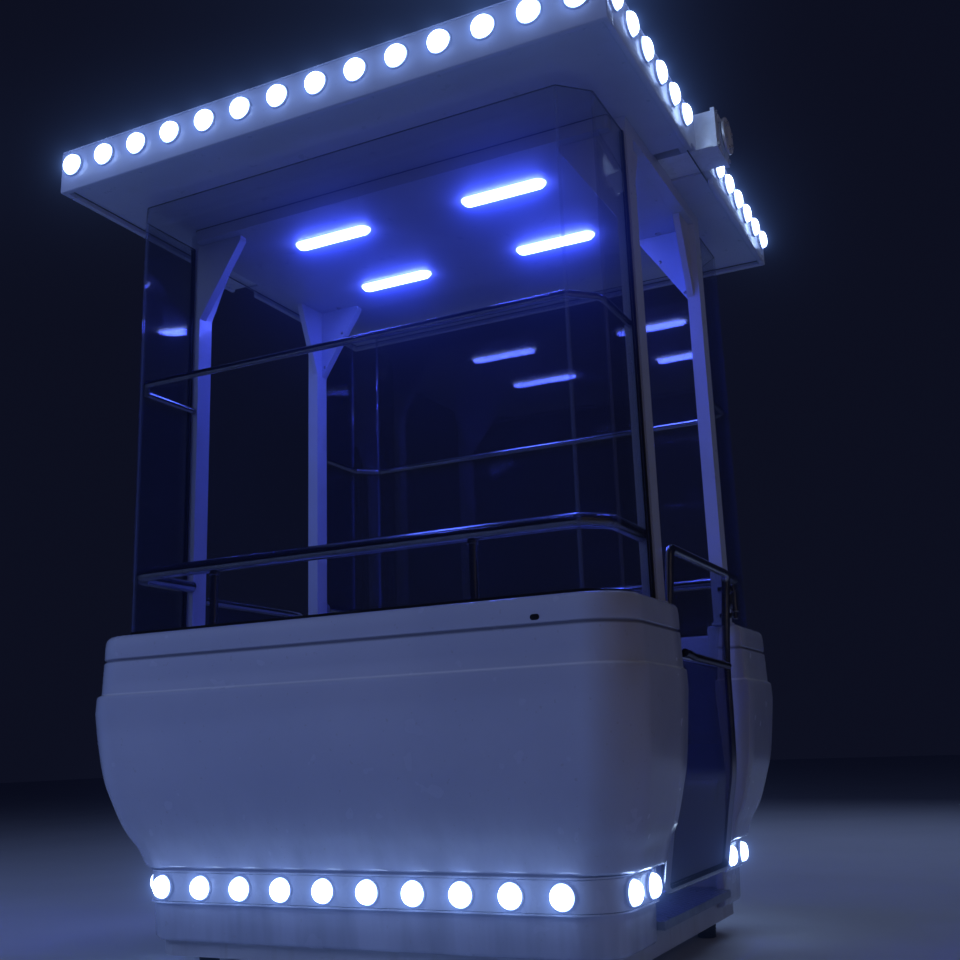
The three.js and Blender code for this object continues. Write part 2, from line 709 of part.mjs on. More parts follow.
function gateFrame() {
  const line = [...upperLine(GATE_MID_Z, GATE_TOP_Z), ...lowerLine(GATE_BOTTOM_Z, GATE_MID_Z).slice(1)];
  const parts = [];
  for (const y of [HINGE_STILE_Y, LATCH_STILE_Y]) {
    parts.push(tube(line.map(([x, z]) => [x, y, z]), GATE_TUBE));
  }
  const middle = (HINGE_STILE_Y + LATCH_STILE_Y) / 2;
  const span = HINGE_STILE_Y - LATCH_STILE_Y;
  for (const z of [GATE_TOP_Z, GATE_MID_Z, GATE_BOTTOM_Z]) {
    const over = z === GATE_TOP_Z ? 2 * GATE_TUBE : 0;
    const radius = z === GATE_MID_Z ? MID_BAR_RADIUS : GATE_TUBE;
    const bar = new THREE.CylinderGeometry(radius, radius, span + over, 10);
    parts.push(bar.translate(gateX(z), middle, z));
  }
  const z = KNUCKLE_Z;
  const barrel = rod(KNUCKLE, KNUCKLE_LENGTH, 16).translate(HINGE_X, HINGE_Y, z);
  const leaf = box(gateX(z), HINGE_X + 2, HINGE_STILE_Y - 4, HINGE_Y - 5, z - 24, z + 24);
  const bore = rod(KNUCKLE_BORE, KNUCKLE_LENGTH + 2, 16).translate(HINGE_X, HINGE_Y, z);
  return join([...parts, barrel, leaf]).subtract(solid(bore));
}

// Short upright hinge rod, held off the post by two lugs
function hingeRod() {
  const low = LUG_HEIGHTS[0] - 12;
  const high = LUG_HEIGHTS[1] + 12;
  const parts = [rod(HINGE_ROD, high - low, 16).translate(HINGE_X, HINGE_Y, (high + low) / 2)];
  const postFace = POST_Y - POST_DEPTH / 2;
  for (const z of LUG_HEIGHTS) {
    parts.push(box(POST_X, HINGE_X + 6, HINGE_Y + 2, postFace - GAP, z - 8, z + 8));
  }
  return join(parts);
}

function gateGlass() {
  const y0 = LATCH_STILE_Y + GATE_TUBE + GAP;
  const y1 = HINGE_STILE_Y - GATE_TUBE - GAP;
  const rim = GATE_TUBE + 1;
  const midRim = MID_BAR_RADIUS + 1;
  const upper = upperLine(GATE_MID_Z + midRim, GATE_TOP_Z - rim);
  const lower = lowerLine(GATE_BOTTOM_Z + rim, GATE_MID_Z - midRim);
  const sheets = [];
  for (const line of [upper, lower]) {
    const half = PANE_THICK / 2;
    const outer = line.map(([x, z]) => new THREE.Vector2(x + half, z));
    const inner = line.map(([x, z]) => new THREE.Vector2(x - half, z)).reverse();
    const outline = new THREE.Shape([...outer, ...inner]);
    const sheet = new THREE.ExtrudeGeometry(outline, { depth: y1 - y0, bevelEnabled: false });
    sheets.push(sheet.rotateX(Math.PI / 2).translate(0, y1, 0));
  }
  return sheets;
}

// Grab bar, bent a little at its latch end, on two stand-offs from the gate's mid bar
function grabBar() {
  const x = gateX(GRAB_Z) + GRAB_STANDOFF;
  const line = [
    [x, -232, GRAB_Z + 8],
    [x, -190, GRAB_Z + 6],
    [x, -150, GRAB_Z + 1],
    [x, 0, GRAB_Z - 2],
    [x, 196, GRAB_Z - 5],
  ];
  const parts = [tube(line, GRAB_RADIUS, 10)];
  const barFace = gateX(GATE_MID_Z) + MID_BAR_RADIUS + GAP;
  for (const y of [-205, 175]) {
    parts.push(box(barFace, x, y - 8, y + 8, GRAB_Z - 6, GRAB_Z + 6));
  }
  return join(parts);
}

function makeGates() {
  const [upper, lower] = gateGlass();
  for (const [side, sign] of [["right", 1], ["left", -1]]) {
    const turn = (body) => (sign > 0 ? body : mirrored(body));
    const gate = new THREE.Group();
    gondola.add(gate);
    place(`${side}_gate_frame`, turn(gateFrame()), STEEL, gate);
    place(`${side}_gate_upper_pane`, turn(solid(upper)), CLEAR, gate);
    place(`${side}_gate_lower_panel`, turn(solid(lower)), CLEAR, gate);
    place(`${side}_gate_grab_bar`, turn(grabBar()), RUBBER, gate);
    place(`${side}_gate_hinge_rod`, turn(hingeRod()), STEEL);
    place(`${side}_hub`, hub(sign), STEEL);
  }
}

makeBase();
makeTubs();
makeFrame();
makeCanopy();
makeWindows();
makeGates();

export default gondola;
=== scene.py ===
"""Ferris wheel gondola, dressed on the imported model.

Lengths in the helpers are millimetres, and the objects are in metres.
"""
import math

import bmesh
import bpy
from mathutils import Matrix, Vector


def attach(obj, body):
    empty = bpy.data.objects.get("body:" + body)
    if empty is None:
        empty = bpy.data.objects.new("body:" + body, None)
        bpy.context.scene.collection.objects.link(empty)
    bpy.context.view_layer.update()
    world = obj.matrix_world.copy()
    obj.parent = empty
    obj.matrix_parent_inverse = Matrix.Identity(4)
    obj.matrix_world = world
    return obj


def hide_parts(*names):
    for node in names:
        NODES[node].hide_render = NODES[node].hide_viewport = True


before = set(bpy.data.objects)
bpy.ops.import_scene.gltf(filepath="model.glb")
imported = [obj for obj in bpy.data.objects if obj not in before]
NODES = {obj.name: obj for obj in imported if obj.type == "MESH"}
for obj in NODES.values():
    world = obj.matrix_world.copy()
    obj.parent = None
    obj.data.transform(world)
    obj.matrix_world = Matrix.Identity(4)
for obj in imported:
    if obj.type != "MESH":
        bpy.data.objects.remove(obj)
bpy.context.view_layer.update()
MM = 0.001
SIDES = (("left", -1), ("right", 1))
ENDS = (("front", -1), ("back", 1))


# Camera at the photograph's place and angle
def make_camera():
    data = bpy.data.cameras.new("camera")
    data.lens = 42.64
    data.sensor_width = 36
    camera = bpy.data.objects.new("camera", data)
    bpy.context.scene.collection.objects.link(camera)
    right = Vector((0.89487, 0.445071, -0.033462))
    up = Vector((0.131763, -0.191805, 0.972548))
    ahead = Vector((-0.426435, 0.874713, 0.230284))
    turn = Matrix((right, up, -ahead)).transposed().to_4x4()
    turn.translation = (1.603, -3.0881, 0.5609)
    camera.matrix_world = turn
    bpy.context.scene.camera = camera


make_camera()


# Materials: helpers, one function for each kind, then the materials by name
class Shader:
    """A Principled material whose nodes are added by short calls."""

    def __init__(self, name, color, roughness, **values):
        self.material = bpy.data.materials.new(name)
        self.material.use_nodes = True
        self.tree = self.material.node_tree
        self.surface = self.tree.nodes["Principled BSDF"]
        self.set("Base Color", (*color, 1))
        self.set("Roughness", roughness)
        for key, value in values.items():
            self.set(key.replace("_", " "), value)
        self.coords = self.tree.nodes.new("ShaderNodeTexCoord").outputs["Object"]

    def set(self, socket, value):
        self.surface.inputs[socket].default_value = value

    def plug(self, socket, output):
        self.tree.links.new(output, self.surface.inputs[socket])

    def node(self, kind, inputs=(), **props):
        made = self.tree.nodes.new(kind)
        for key, value in props.items():
            setattr(made, key, value)
        for key, value in dict(inputs).items():
            if isinstance(value, bpy.types.NodeSocket):
                self.tree.links.new(value, made.inputs[key])
            else:
                made.inputs[key].default_value = value
        return made

    def stretched(self, scale):
        return self.node("ShaderNodeMapping", {"Vector": self.coords, "Scale": scale}).outputs[0]

    def noise(self, scale, detail=3, rough=0.55, vector=None):
        vector = vector or self.coords
        inputs = {"Vector": vector, "Scale": scale, "Detail": detail, "Roughness": rough}
        return self.node("ShaderNodeTexNoise", inputs).outputs["Fac"]

    def span(self, value, low, high, to_low=0.0, to_high=1.0):
        inputs = {0: value, 1: low, 2: high, 3: to_low, 4: to_high}
        return self.node("ShaderNodeMapRange", inputs).outputs[0]

    def math(self, operation, a, b=0.0, c=0.0):
        return self.node("ShaderNodeMath", {0: a, 1: b, 2: c}, operation=operation).outputs[0]

    def mix(self, factor, a, b):
        made = self.tree.nodes.new("ShaderNodeMix")
        made.data_type = "RGBA"
        for key, value in (("Factor", factor), ("A", a), ("B", b)):
            sockets = [s for s in made.inputs if s.name == key and s.enabled]
            socket = sockets[0]
            if isinstance(value, bpy.types.NodeSocket):
                self.tree.links.new(value, socket)
            elif isinstance(value, (int, float)):
                socket.default_value = value
            else:
                socket.default_value = (*value, 1)
        return [s for s in made.outputs if s.enabled][0]

    def axis(self, name):
        return self.node("ShaderNodeSeparateXYZ", {0: self.coords}).outputs[name]

    def bump(self, height, distance, strength=1.0, under=None):
        inputs = {"Height": height, "Distance": distance, "Strength": strength}
        if under is not None:
            inputs["Normal"] = under
        return self.node("ShaderNodeBump", inputs).outputs[0]


def near(shader, value, centre, half):
    """1 where value is at centre, down to 0 at half away."""
    away = shader.math("ABSOLUTE", shader.math("SUBTRACT", value, centre))
    return shader.span(away, 0.0, half, 1.0, 0.0)


def gelcoat_material():
    s = Shader("gelcoat", (0.53, 0.57, 0.72), 0.2, Coat_Weight=0.6, Coat_Roughness=0.05, IOR=1.5)
    z = s.axis("Z")
    past_x = s.math("SUBTRACT", s.math("ABSOLUTE", s.axis("X")), 0.72)
    past_y = s.math("SUBTRACT", s.math("ABSOLUTE", s.axis("Y")), 0.64)
    outside = s.span(s.math("MAXIMUM", past_x, past_y), 0.0, 0.01)
    clouds = s.noise(2.2, 3, 0.6)
    specks = s.noise(85, 1, 0.5)
    streaks = s.noise(9, 3, 0.6, s.stretched((1, 1, 0.12)))
    runs = s.noise(26, 3, 0.62, s.stretched((1, 1, 0.035)))
    tone = s.mix(s.span(clouds, 0.35, 0.7), (0.50, 0.545, 0.70), (0.56, 0.60, 0.75))
    run = s.math("MULTIPLY", s.span(runs, 0.48, 0.68), s.span(z, 0.50, 0.22, 0.0, 0.17))
    tone = s.mix(run, tone, (0.30, 0.33, 0.46))
    low = s.span(z, 0.48, 0.14, 0.0, 0.6)
    grime = s.math("MULTIPLY", s.span(streaks, 0.42, 0.68), low)
    tone = s.mix(grime, tone, (0.27, 0.29, 0.38))
    # Painted shade: a dark line along the groove at z 0.831, on the outer face only.
    painted_groove_shade = s.math("MULTIPLY", near(s, z, 0.831, 0.007), s.math("MULTIPLY", outside, 0.85))
    tone = s.mix(painted_groove_shade, tone, (0.10, 0.11, 0.16))
    # Painted highlight: a light line along the ledge at z 0.7385, on the outer face only.
    painted_ledge_highlight = s.math("MULTIPLY", near(s, z, 0.7385, 0.0045), s.math("MULTIPLY", outside, 0.9))
    tone = s.mix(painted_ledge_highlight, tone, (0.88, 0.91, 1.0))
    speck = s.math("MULTIPLY", s.span(specks, 0.72, 0.76), 0.22)
    tone = s.mix(speck, tone, (0.30, 0.29, 0.30))
    s.plug("Base Color", tone)
    s.plug("Roughness", s.span(s.noise(14, 2), 0.3, 0.7, 0.14, 0.28))
    peel = s.bump(s.noise(190, 2), 0.0003, 0.25)
    s.plug("Normal", s.bump(s.noise(3.5, 2), 0.004, 0.12, peel))
    return s.material


def white_paint_material(name, color, roughness, dirt):
    s = Shader(name, color, roughness, Coat_Weight=0.25, Coat_Roughness=0.12)
    clouds = s.noise(3, 3)
    streaks = s.noise(16, 3, 0.65, s.stretched((1, 1, 0.08)))
    scuffs = s.noise(40, 3, 0.7, s.stretched((0.3, 1, 1)))
    darker = tuple(c * 0.9 for c in color)
    tone = s.mix(s.span(clouds, 0.35, 0.7), darker, color)
    tone = s.mix(s.math("MULTIPLY", s.span(streaks, 0.52, 0.72), dirt), tone, (0.36, 0.34, 0.34))
    tone = s.mix(s.math("MULTIPLY", s.span(scuffs, 0.70, 0.78), dirt), tone, (0.30, 0.29, 0.30))
    s.plug("Base Color", tone)
    s.plug("Roughness", s.span(s.noise(22, 3), 0.3, 0.7, roughness - 0.07, roughness + 0.1))
    s.plug("Normal", s.bump(s.noise(140, 2), 0.0004, 0.3))
    return s.material


def metal_material(name, color, roughness, grain, amount=0.06, metallic=1.0):
    s = Shader(name, color, roughness, Metallic=metallic)
    lines = s.noise(60, 4, 0.7, s.stretched(grain))
    cloud = s.noise(7, 3)
    s.plug("Roughness", s.span(lines, 0.3, 0.7, roughness - amount, roughness + amount))
    darker = tuple(c * 0.78 for c in color)
    s.plug("Base Color", s.mix(s.span(cloud, 0.3, 0.75), darker, color))
    s.plug("Normal", s.bump(lines, 0.0002, 0.15))
    return s.material


def rubber_material(name, color=(0.016, 0.016, 0.019), roughness=0.62):
    s = Shader(name, color, roughness)
    grain = s.noise(320, 3)
    dust = s.span(s.noise(12, 4), 0.5, 0.75, 0.0, 0.3)
    s.plug("Base Color", s.mix(dust, color, (0.075, 0.075, 0.085)))
    s.plug("Roughness", s.span(grain, 0.3, 0.7, roughness - 0.08, roughness + 0.1))
    s.plug("Normal", s.bump(grain, 0.0003, 0.4))
    return s.material


def sheet_material(name, color, clear, edge, **values):
    """Clear sheet: seen through face on, and more of a mirror at a glancing angle."""
    s = Shader(name, color, 0.04, Coat_Roughness=0.01, **values)
    facing = s.node("ShaderNodeLayerWeight", {"Blend": 0.22}).outputs["Facing"]
    smear = s.span(s.noise(5, 3, 0.65, s.stretched((1, 1, 0.35))), 0.52, 0.78, 0.0, 0.035)
    s.plug("Alpha", s.math("ADD", s.span(facing, 0.0, 1.0, clear, edge), smear))
    s.plug("Base Color", s.mix(s.span(s.noise(2.5, 2), 0.3, 0.7), color, tuple(c * 0.8 for c in color)))
    s.plug("Roughness", s.span(s.noise(8, 2), 0.35, 0.75, 0.005, 0.03))
    s.material.blend_method = "BLEND"
    return s.material


def glow_material(name, color, light, strength):
    s = Shader(name, color, 0.25, Coat_Weight=0.5, Coat_Roughness=0.05)
    ribs = s.noise(160, 2)
    s.plug("Base Color", s.mix(s.span(ribs, 0.35, 0.65), tuple(c * 0.8 for c in color), color))
    s.set("Emission Color", (*light, 1))
    s.set("Emission Strength", strength)
    s.plug("Normal", s.bump(ribs, 0.0006, 0.3))
    return s.material


def tread_material():
    """Plate with short raised bars in a checker of two directions."""
    s = Shader("floor_plate", (0.42, 0.43, 0.46), 0.34, Metallic=1.0)
    x = s.axis("X")
    y = s.axis("Y")
    pitch = 0.028
    across = s.math("DIVIDE", s.math("ADD", x, y), pitch)
    along = s.math("DIVIDE", s.math("SUBTRACT", x, y), pitch)
    parity = s.math("MODULO", s.math("ADD", s.math("FLOOR", across), s.math("FLOOR", along)), 2.0)
    odd = s.math("GREATER_THAN", s.math("ABSOLUTE", parity), 0.5)
    u = s.math("SUBTRACT", s.math("FRACT", across), 0.5)
    v = s.math("SUBTRACT", s.math("FRACT", along), 0.5)
    bars = []
    for a, b in ((u, v), (v, u)):
        long_way = s.math("POWER", s.math("DIVIDE", a, 0.44), 2.0)
        short_way = s.math("POWER", s.math("DIVIDE", b, 0.15), 2.0)
        bars.append(s.span(s.math("ADD", long_way, short_way), 1.0, 0.45))
    plain = s.math("MULTIPLY", bars[0], odd)
    turned = s.math("MULTIPLY", bars[1], s.math("SUBTRACT", 1.0, odd))
    raised = s.math("ADD", plain, turned)
    normal = s.node("ShaderNodeNewGeometry").outputs["Normal"]
    upward = s.node("ShaderNodeSeparateXYZ", {0: normal}).outputs["Z"]
    raised = s.math("MULTIPLY", raised, s.span(upward, 0.6, 0.9))
    dirt = s.span(s.noise(6, 5, 0.65), 0.4, 0.7)
    base = s.mix(dirt, (0.32, 0.33, 0.37), (0.20, 0.20, 0.23))
    s.plug("Base Color", s.mix(raised, base, (0.66, 0.68, 0.74)))
    s.plug("Roughness", s.span(s.noise(30, 4), 0.3, 0.7, 0.26, 0.46))
    s.plug("Normal", s.bump(raised, 0.0022, 0.9))
    return s.material


GELCOAT = gelcoat_material()
PAINT = white_paint_material("white_paint", (0.58, 0.63, 0.80), 0.34, 0.1)
BASE_PAINT = white_paint_material("base_paint", (0.5, 0.52, 0.58), 0.42, 0.6)
SEAT = white_paint_material("seat_plastic", (0.56, 0.58, 0.66), 0.34, 0.18)
BAND = white_paint_material("lamp_band", (0.62, 0.68, 0.82), 0.24, 0.12)
BEZEL = white_paint_material("lamp_bezel", (0.74, 0.78, 0.88), 0.3, 0.1)
STAINLESS = metal_material("stainless", (0.50, 0.51, 0.54), 0.16, (1, 1, 0.1))
HUB_STEEL = metal_material("hub_steel", (0.66, 0.68, 0.73), 0.42, (0.1, 1, 1), metallic=0.5)
BOLT_STEEL = metal_material("bolt_steel", (0.55, 0.56, 0.60), 0.28, (1, 1, 1), metallic=0.7)
RUBBER = rubber_material("rubber")
SEAL = rubber_material("seal_rubber", (0.012, 0.012, 0.015), 0.45)
GRIP = rubber_material("black_grip", (0.007, 0.007, 0.009), 0.2)
CLEAR = sheet_material("clear_sheet", (0.018, 0.026, 0.075), 0.12, 0.7, Coat_Weight=1.0, IOR=2.0)
CLEAR_EDGE = sheet_material("clear_sheet_edge", (0.05, 0.06, 0.13), 0.7, 0.95, Coat_Weight=1.0)
# Lighter, less clear copy of the clear sheet for the bends: a painted highlight.
CLEAR_BEND_HIGHLIGHT = sheet_material("clear_sheet_bend_highlight", (0.16, 0.20, 0.42), 0.34, 0.75, Coat_Weight=1.0, IOR=2.0)
GATE_SHEET = sheet_material(
    "gate_sheet", (0.022, 0.03, 0.19), 0.6, 0.9, Coat_Weight=0.12, Specular_IOR_Level=0.2)
LENS = glow_material("lamp_lens", (0.9, 0.95, 1.0), (0.50, 0.68, 1.0), 9.0)
LENS_RIM = glow_material("lamp_rim", (0.75, 0.84, 1.0), (0.34, 0.50, 1.0), 5.0)
TUBE_LIGHT = glow_material("light_bar", (0.9, 0.94, 1.0), (0.07, 0.11, 1.0), 74.0)
BAR_RIM = glow_material("light_bar_rim", (0.9, 0.94, 1.0), (0.25, 0.36, 1.0), 9.0)
HOUSING_PAINT = white_paint_material("housing_paint", (0.84, 0.90, 1.0), 0.28, 0.2)
TREAD = tread_material()


# Geometry helpers
class Build:
    """Collects closed shapes, given in millimetres, into one mesh with several materials."""

    def __init__(self):
        self.points = []
        self.faces = []
        self.paint = []

    def add(self, shape, material=0):
        """Material is one slot for the whole shape, or a list with one slot for each face."""
        points, faces = shape
        start = len(self.points)
        self.points += [tuple(c * MM for c in p) for p in points]
        self.faces += [tuple(start + i for i in f) for f in faces]
        self.paint += material if isinstance(material, list) else [material] * len(faces)
        return self

    def done(self, name, materials, body, slot, replaces=(), sharp=32):
        mesh = bpy.data.meshes.new(name)
        mesh.from_pydata(self.points, [], self.faces)
        for material in materials:
            mesh.materials.append(material)
        mesh.polygons.foreach_set("material_index", self.paint)
        mesh.polygons.foreach_set("use_smooth", [True] * len(self.faces))
        work = bmesh.new()
        work.from_mesh(mesh)
        bmesh.ops.recalc_face_normals(work, faces=work.faces)
        work.to_mesh(mesh)
        work.free()
        mesh.set_sharp_from_angle(angle=math.radians(sharp))
        piece = bpy.data.objects.new(name, mesh)
        bpy.context.scene.collection.objects.link(piece)
        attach(piece, body)
        if replaces:
            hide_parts(*replaces)
        return piece


def ring_faces(rings, count, closed=True):
    faces = []
    for level in range(rings - 1):
        for i in range(count if closed else count - 1):
            j = (i + 1) % count
            a = level * count
            faces.append((a + i, a + j, a + count + j, a + count + i))
    return faces


def sweep(path, radius, sides=20, squash=1.0):
    """Round bar along a path, closed at both ends."""
    path = [Vector(p) for p in path]
    tangents = []
    for i, point in enumerate(path):
        before = (point - path[i - 1]).normalized() if i else None
        after = (path[i + 1] - point).normalized() if i + 1 < len(path) else None
        tangents.append(((before or after) + (after or before)).normalized())
    start = Vector((0, 0, 1)) if abs(tangents[0].z) < 0.9 else Vector((1, 0, 0))
    normal = (start - tangents[0] * start.dot(tangents[0])).normalized()
    points = []
    for i, point in enumerate(path):
        if i:
            normal = (normal - tangents[i] * normal.dot(tangents[i])).normalized()
        other = tangents[i].cross(normal)
        for k in range(sides):
            angle = 2 * math.pi * k / sides
            offset = normal * (radius * squash * math.cos(angle)) + other * (radius * math.sin(angle))
            points.append(point + offset)
    faces = ring_faces(len(path), sides)
    faces.append(tuple(reversed(range(sides))))
    faces.append(tuple(range((len(path) - 1) * sides, len(path) * sides)))
    return points, faces


def rounded(points, radius, steps=6, closed=False):
    """A polyline whose corners are turned into arcs."""
    points = [Vector(p) for p in points]
    out = []
    count = len(points)
    for i, corner in enumerate(points):
        if not closed and i in (0, count - 1):
            out.append(corner)
            continue
        back = points[i - 1] - corner
        ahead = points[(i + 1) % count] - corner
        half = back.angle(ahead) / 2
        if half > math.radians(89.5):
            out.append(corner)
            continue
        cut = min(radius / math.tan(half), back.length * 0.49, ahead.length * 0.49)
        a = corner + back.normalized() * cut
        b = corner + ahead.normalized() * cut
        for k in range(steps + 1):
            t = k / steps
            out.append(a.lerp(corner, t).lerp(corner.lerp(b, t), t))
    return out


def lathe(profile, centre, axis, sides=32):
    """Solid turned about an axis: profile is a list of (radius, height along the axis)."""
    axis = Vector(axis).normalized()
    start = Vector((0, 0, 1)) if abs(axis.z) < 0.9 else Vector((1, 0, 0))
    u = (start - axis * start.dot(axis)).normalized()
    v = axis.cross(u)
    centre = Vector(centre)
    points = []
    for radius, height in profile:
        for k in range(sides):
            angle = 2 * math.pi * k / sides
            points.append(centre + axis * height + (u * math.cos(angle) + v * math.sin(angle)) * radius)
    faces = ring_faces(len(profile), sides)
    faces.append(tuple(reversed(range(sides))))
    faces.append(tuple(range((len(profile) - 1) * sides, len(profile) * sides)))
    return points, faces


def block(x0, x1, y0, y1, z0, z1, radius=3.0, steps=3):
    """Box with rounded edges."""
    work = bmesh.new()
    bmesh.ops.create_cube(work, size=1)
    for vert in work.verts:
        vert.co = Vector((
            (x0 + x1) / 2 + vert.co.x * (x1 - x0),
            (y0 + y1) / 2 + vert.co.y * (y1 - y0),
            (z0 + z1) / 2 + vert.co.z * (z1 - z0),
        ))
    if radius:
        bmesh.ops.bevel(work, geom=work.edges[:], offset=radius, segments=steps, affect="EDGES", profile=0.5)
    work.verts.ensure_lookup_table()
    points = [v.co.copy() for v in work.verts]
    faces = [tuple(v.index for v in f.verts) for f in work.faces]
    work.free()
    return points, faces


def prism(outline, low, high, axis, radius=3.0, steps=3):
    """Outline drawn in the plane across the axis, drawn out along it, with rounded edges."""
    place = {
        "x": lambda a, b, h: (h, a, b),
        "y": lambda a, b, h: (a, h, b),
        "z": lambda a, b, h: (a, b, h),
    }[axis]
    work = bmesh.new()
    ends = [[work.verts.new(place(a, b, h)) for a, b in outline] for h in (low, high)]
    work.faces.new(ends[0])
    work.faces.new(ends[1])
    for i in range(len(outline)):
        work.faces.new((ends[0][i - 1], ends[0][i], ends[1][i], ends[1][i - 1]))
    bmesh.ops.recalc_face_normals(work, faces=work.faces)
    bmesh.ops.bevel(work, geom=work.edges[:], offset=radius, segments=steps, affect="EDGES", profile=0.5)
    work.verts.ensure_lookup_table()
    points = [v.co.copy() for v in work.verts]
    faces = [tuple(v.index for v in f.verts) for f in work.faces]
    work.free()
    return points, faces


def hex_head(centre, axis, across=13.0, height=6.0):
    """Hexagon bolt head on a washer."""
    r = across / 2 / math.cos(math.pi / 6)
    head = lathe([(r, 0), (r, height * 0.82), (r * 0.86, height)], centre, axis, 6)
    washer = lathe([(across * 0.82, -0.5), (across * 0.82, 1.0), (across * 0.78, 1.4)], centre, axis, 20)
    return head, washer


def dome_head(centre, axis, radius=5.0, height=2.4):
    profile = [(radius, -0.5)]
    for k in range(5):
        t = k / 4 * math.pi / 2
        profile.append((max(radius * math.cos(t), 0.3), height * math.sin(t)))
    return lathe(profile, centre, axis, 12)


def ribbon(outer, inner, z0, z1):
    """Upright closed band between two plan lines of equal length."""
    count = len(outer)
    points = []
    for z in (z0, z1):
        points += [(x, y, z) for x, y in outer]
        points += [(x, y, z) for x, y in inner]
    faces = []
    for i in range(count - 1):
        a, b = i, i + 1
        c, d = count + i, count + i + 1
        top = 2 * count
        faces += [(a, b, b + top, a + top), (d, c, c + top, d + top)]
        faces += [(b, a, c, d), (a + top, b + top, d + top, c + top)]
    end = 2 * count
    faces.append((0, end, end + count, count))
    last = count - 1
    faces.append((last, count + last, end + count + last, end + last))
    return points, faces


def u_line(half_x, half_y, radius, end_y, sign, steps=14, straight=1):
    """Plan line round one end of the cabin, from the right side to the left side."""
    points = []
    for side in (1, -1):
        part = []
        for k in range(straight):
            y = end_y + (half_y - radius - end_y) * k / straight
            part.append((side * half_x, y))
        for k in range(steps + 1):
            angle = math.pi / 2 * k / steps
            x = half_x - radius + radius * math.cos(angle)
            y = half_y - radius + radius * math.sin(angle)
            part.append((side * x, y))
        points += part if side > 0 else part[::-1]
    return [(x, sign * y) for x, y in points]


def finish_node(name, material, bevel=0.0, segments=2, angle=40):
    """Gives a CAD node its material, and softens its edges with modifiers."""
    node = NODES[name]
    node.data.materials.clear()
    node.data.materials.append(material)
    if bevel:
        soft = node.modifiers.new("soft_edges", "BEVEL")
        soft.width = bevel * MM
        soft.segments = segments
        soft.limit_method = "ANGLE"
        soft.angle_limit = math.radians(angle)
        soft.harden_normals = True


# Tub halves: rows of half width (x), half length (y) and corner radius by height
RIM_Z = 900
TUB_END_Y = 315
BELLY = [
    (286, 719, 606, 120), (330, 729, 625, 120), (360, 747, 645, 120), (410, 762, 670, 120),
    (465, 775, 690, 120), (510, 786, 705, 120), (600, 795, 722, 120), (690, 803, 730, 120),
]
FOOT_ROWS = [
    (95, 672, 582, 103), (98, 677, 587, 107), (105, 681, 592, 110), (190, 683.5, 599.5, 113),
    (275, 683.5, 599.5, 113), (277, 686, 600, 113), (278, 712, 602, 118),
]
TOP_ROWS = [
    (725, 802.5, 728, 120), (733, 802, 727, 120), (736, 800.5, 725, 120), (738, 797, 720, 118),
    (741, 794, 717, 118), (780, 793, 716, 118), (824, 792, 714, 118), (827, 791, 713, 118),
    (828.5, 787.5, 709.5, 114), (833.5, 787.5, 709.5, 114), (835, 790.5, 712.5, 118),
    (838, 791.5, 713.5, 118), (870, 791.3, 712.8, 118),
    (884, 790, 711, 117), (890, 788, 709, 115), (895, 784, 705, 112), (898.5, 779, 700, 108),
    (900, 773, 694, 104),
]
INNER_ROWS = [
    (900, 698, 618, 64), (897, 692.5, 612.5, 61), (890, 690, 610, 60), (450, 690, 610, 75),
    (420, 686, 606, 77), (330, 660, 570, 88), (300, 657, 567, 90), (95, 657, 567, 90),
]
PLUG = (571, 849, 24, 14)


def smooth_rows(rows, steps):
    """Catmull-Rom rows between the given ones."""
    out = []
    for i in range(len(rows) - 1):
        p = [rows[max(i - 1, 0)], rows[i], rows[i + 1], rows[min(i + 2, len(rows) - 1)]]
        for k in range(steps):
            t = k / steps
            row = []
            for a, b, c, d in zip(*p):
                bend = 2 * a - 5 * b + 4 * c - d + t * (3 * (b - c) + d - a)
                row.append(b + 0.5 * t * (c - a + t * bend))
            out.append(tuple(row))
    out.append(rows[-1])
    return out


def smooth_belly():
    rows = BELLY
    spline = smooth_rows(rows, 5)
    for _ in range(6):
        middle = [
            tuple((a + 2 * b + c) / 4 for a, b, c in zip(spline[i - 1], spline[i], spline[i + 1]))
            for i in range(1, len(spline) - 1)
        ]
        spline = [spline[0], *middle, spline[-1]]
    return spline


def inset_loop(loop, distance):
    """Moves each point of a closed loop of (x, z) inwards."""
    area = sum(a[0] * b[1] - b[0] * a[1] for a, b in zip(loop, loop[1:] + loop[:1]))
    turn = 1 if area > 0 else -1
    out = []
    for i, (x, z) in enumerate(loop):
        ax, az = loop[i - 1]
        bx, bz = loop[(i + 1) % len(loop)]
        dx, dz = bx - ax, bz - az
        size = math.hypot(dx, dz) or 1
        out.append((x - turn * dz / size * distance, z + turn * dx / size * distance))
    return out


def tub_shape(sign):
    rows = FOOT_ROWS + smooth_belly() + TOP_ROWS + INNER_ROWS
    lines = [u_line(hx, hy, r, TUB_END_Y, sign, steps=16, straight=4) for z, hx, hy, r in rows]
    heights = [row[0] for row in rows]
    count = len(lines[0])
    stations = []
    for s in range(count):
        stations.append([(line[s][0], line[s][1], z) for line, z in zip(lines, heights)])
    # The two ends at the doors get a small rounding
    caps = []
    for index, side in ((0, 1), (count - 1, -1)):
        loop = [(side * p[0], p[2]) for p in stations[index]]
        made = []
        for away, depth in ((0.0, 4.0), (1.2, 1.2)):
            inner = inset_loop(loop, depth)
            made.append([(side * x, sign * (TUB_END_Y + away), z) for x, z in inner])
        moved = [(p[0], sign * (TUB_END_Y + 4), p[2]) for p in stations[index]]
        caps.append((made, moved))
    full = caps[0][0] + [caps[0][1]] + stations[1:-1] + [caps[1][1]] + caps[1][0][::-1]
    size = len(rows)
    points = [p for station in full for p in station]
    faces = ring_faces(len(full), size)
    faces.append(tuple(range(size)))
    faces.append(tuple(reversed(range((len(full) - 1) * size, len(full) * size))))
    return points, faces


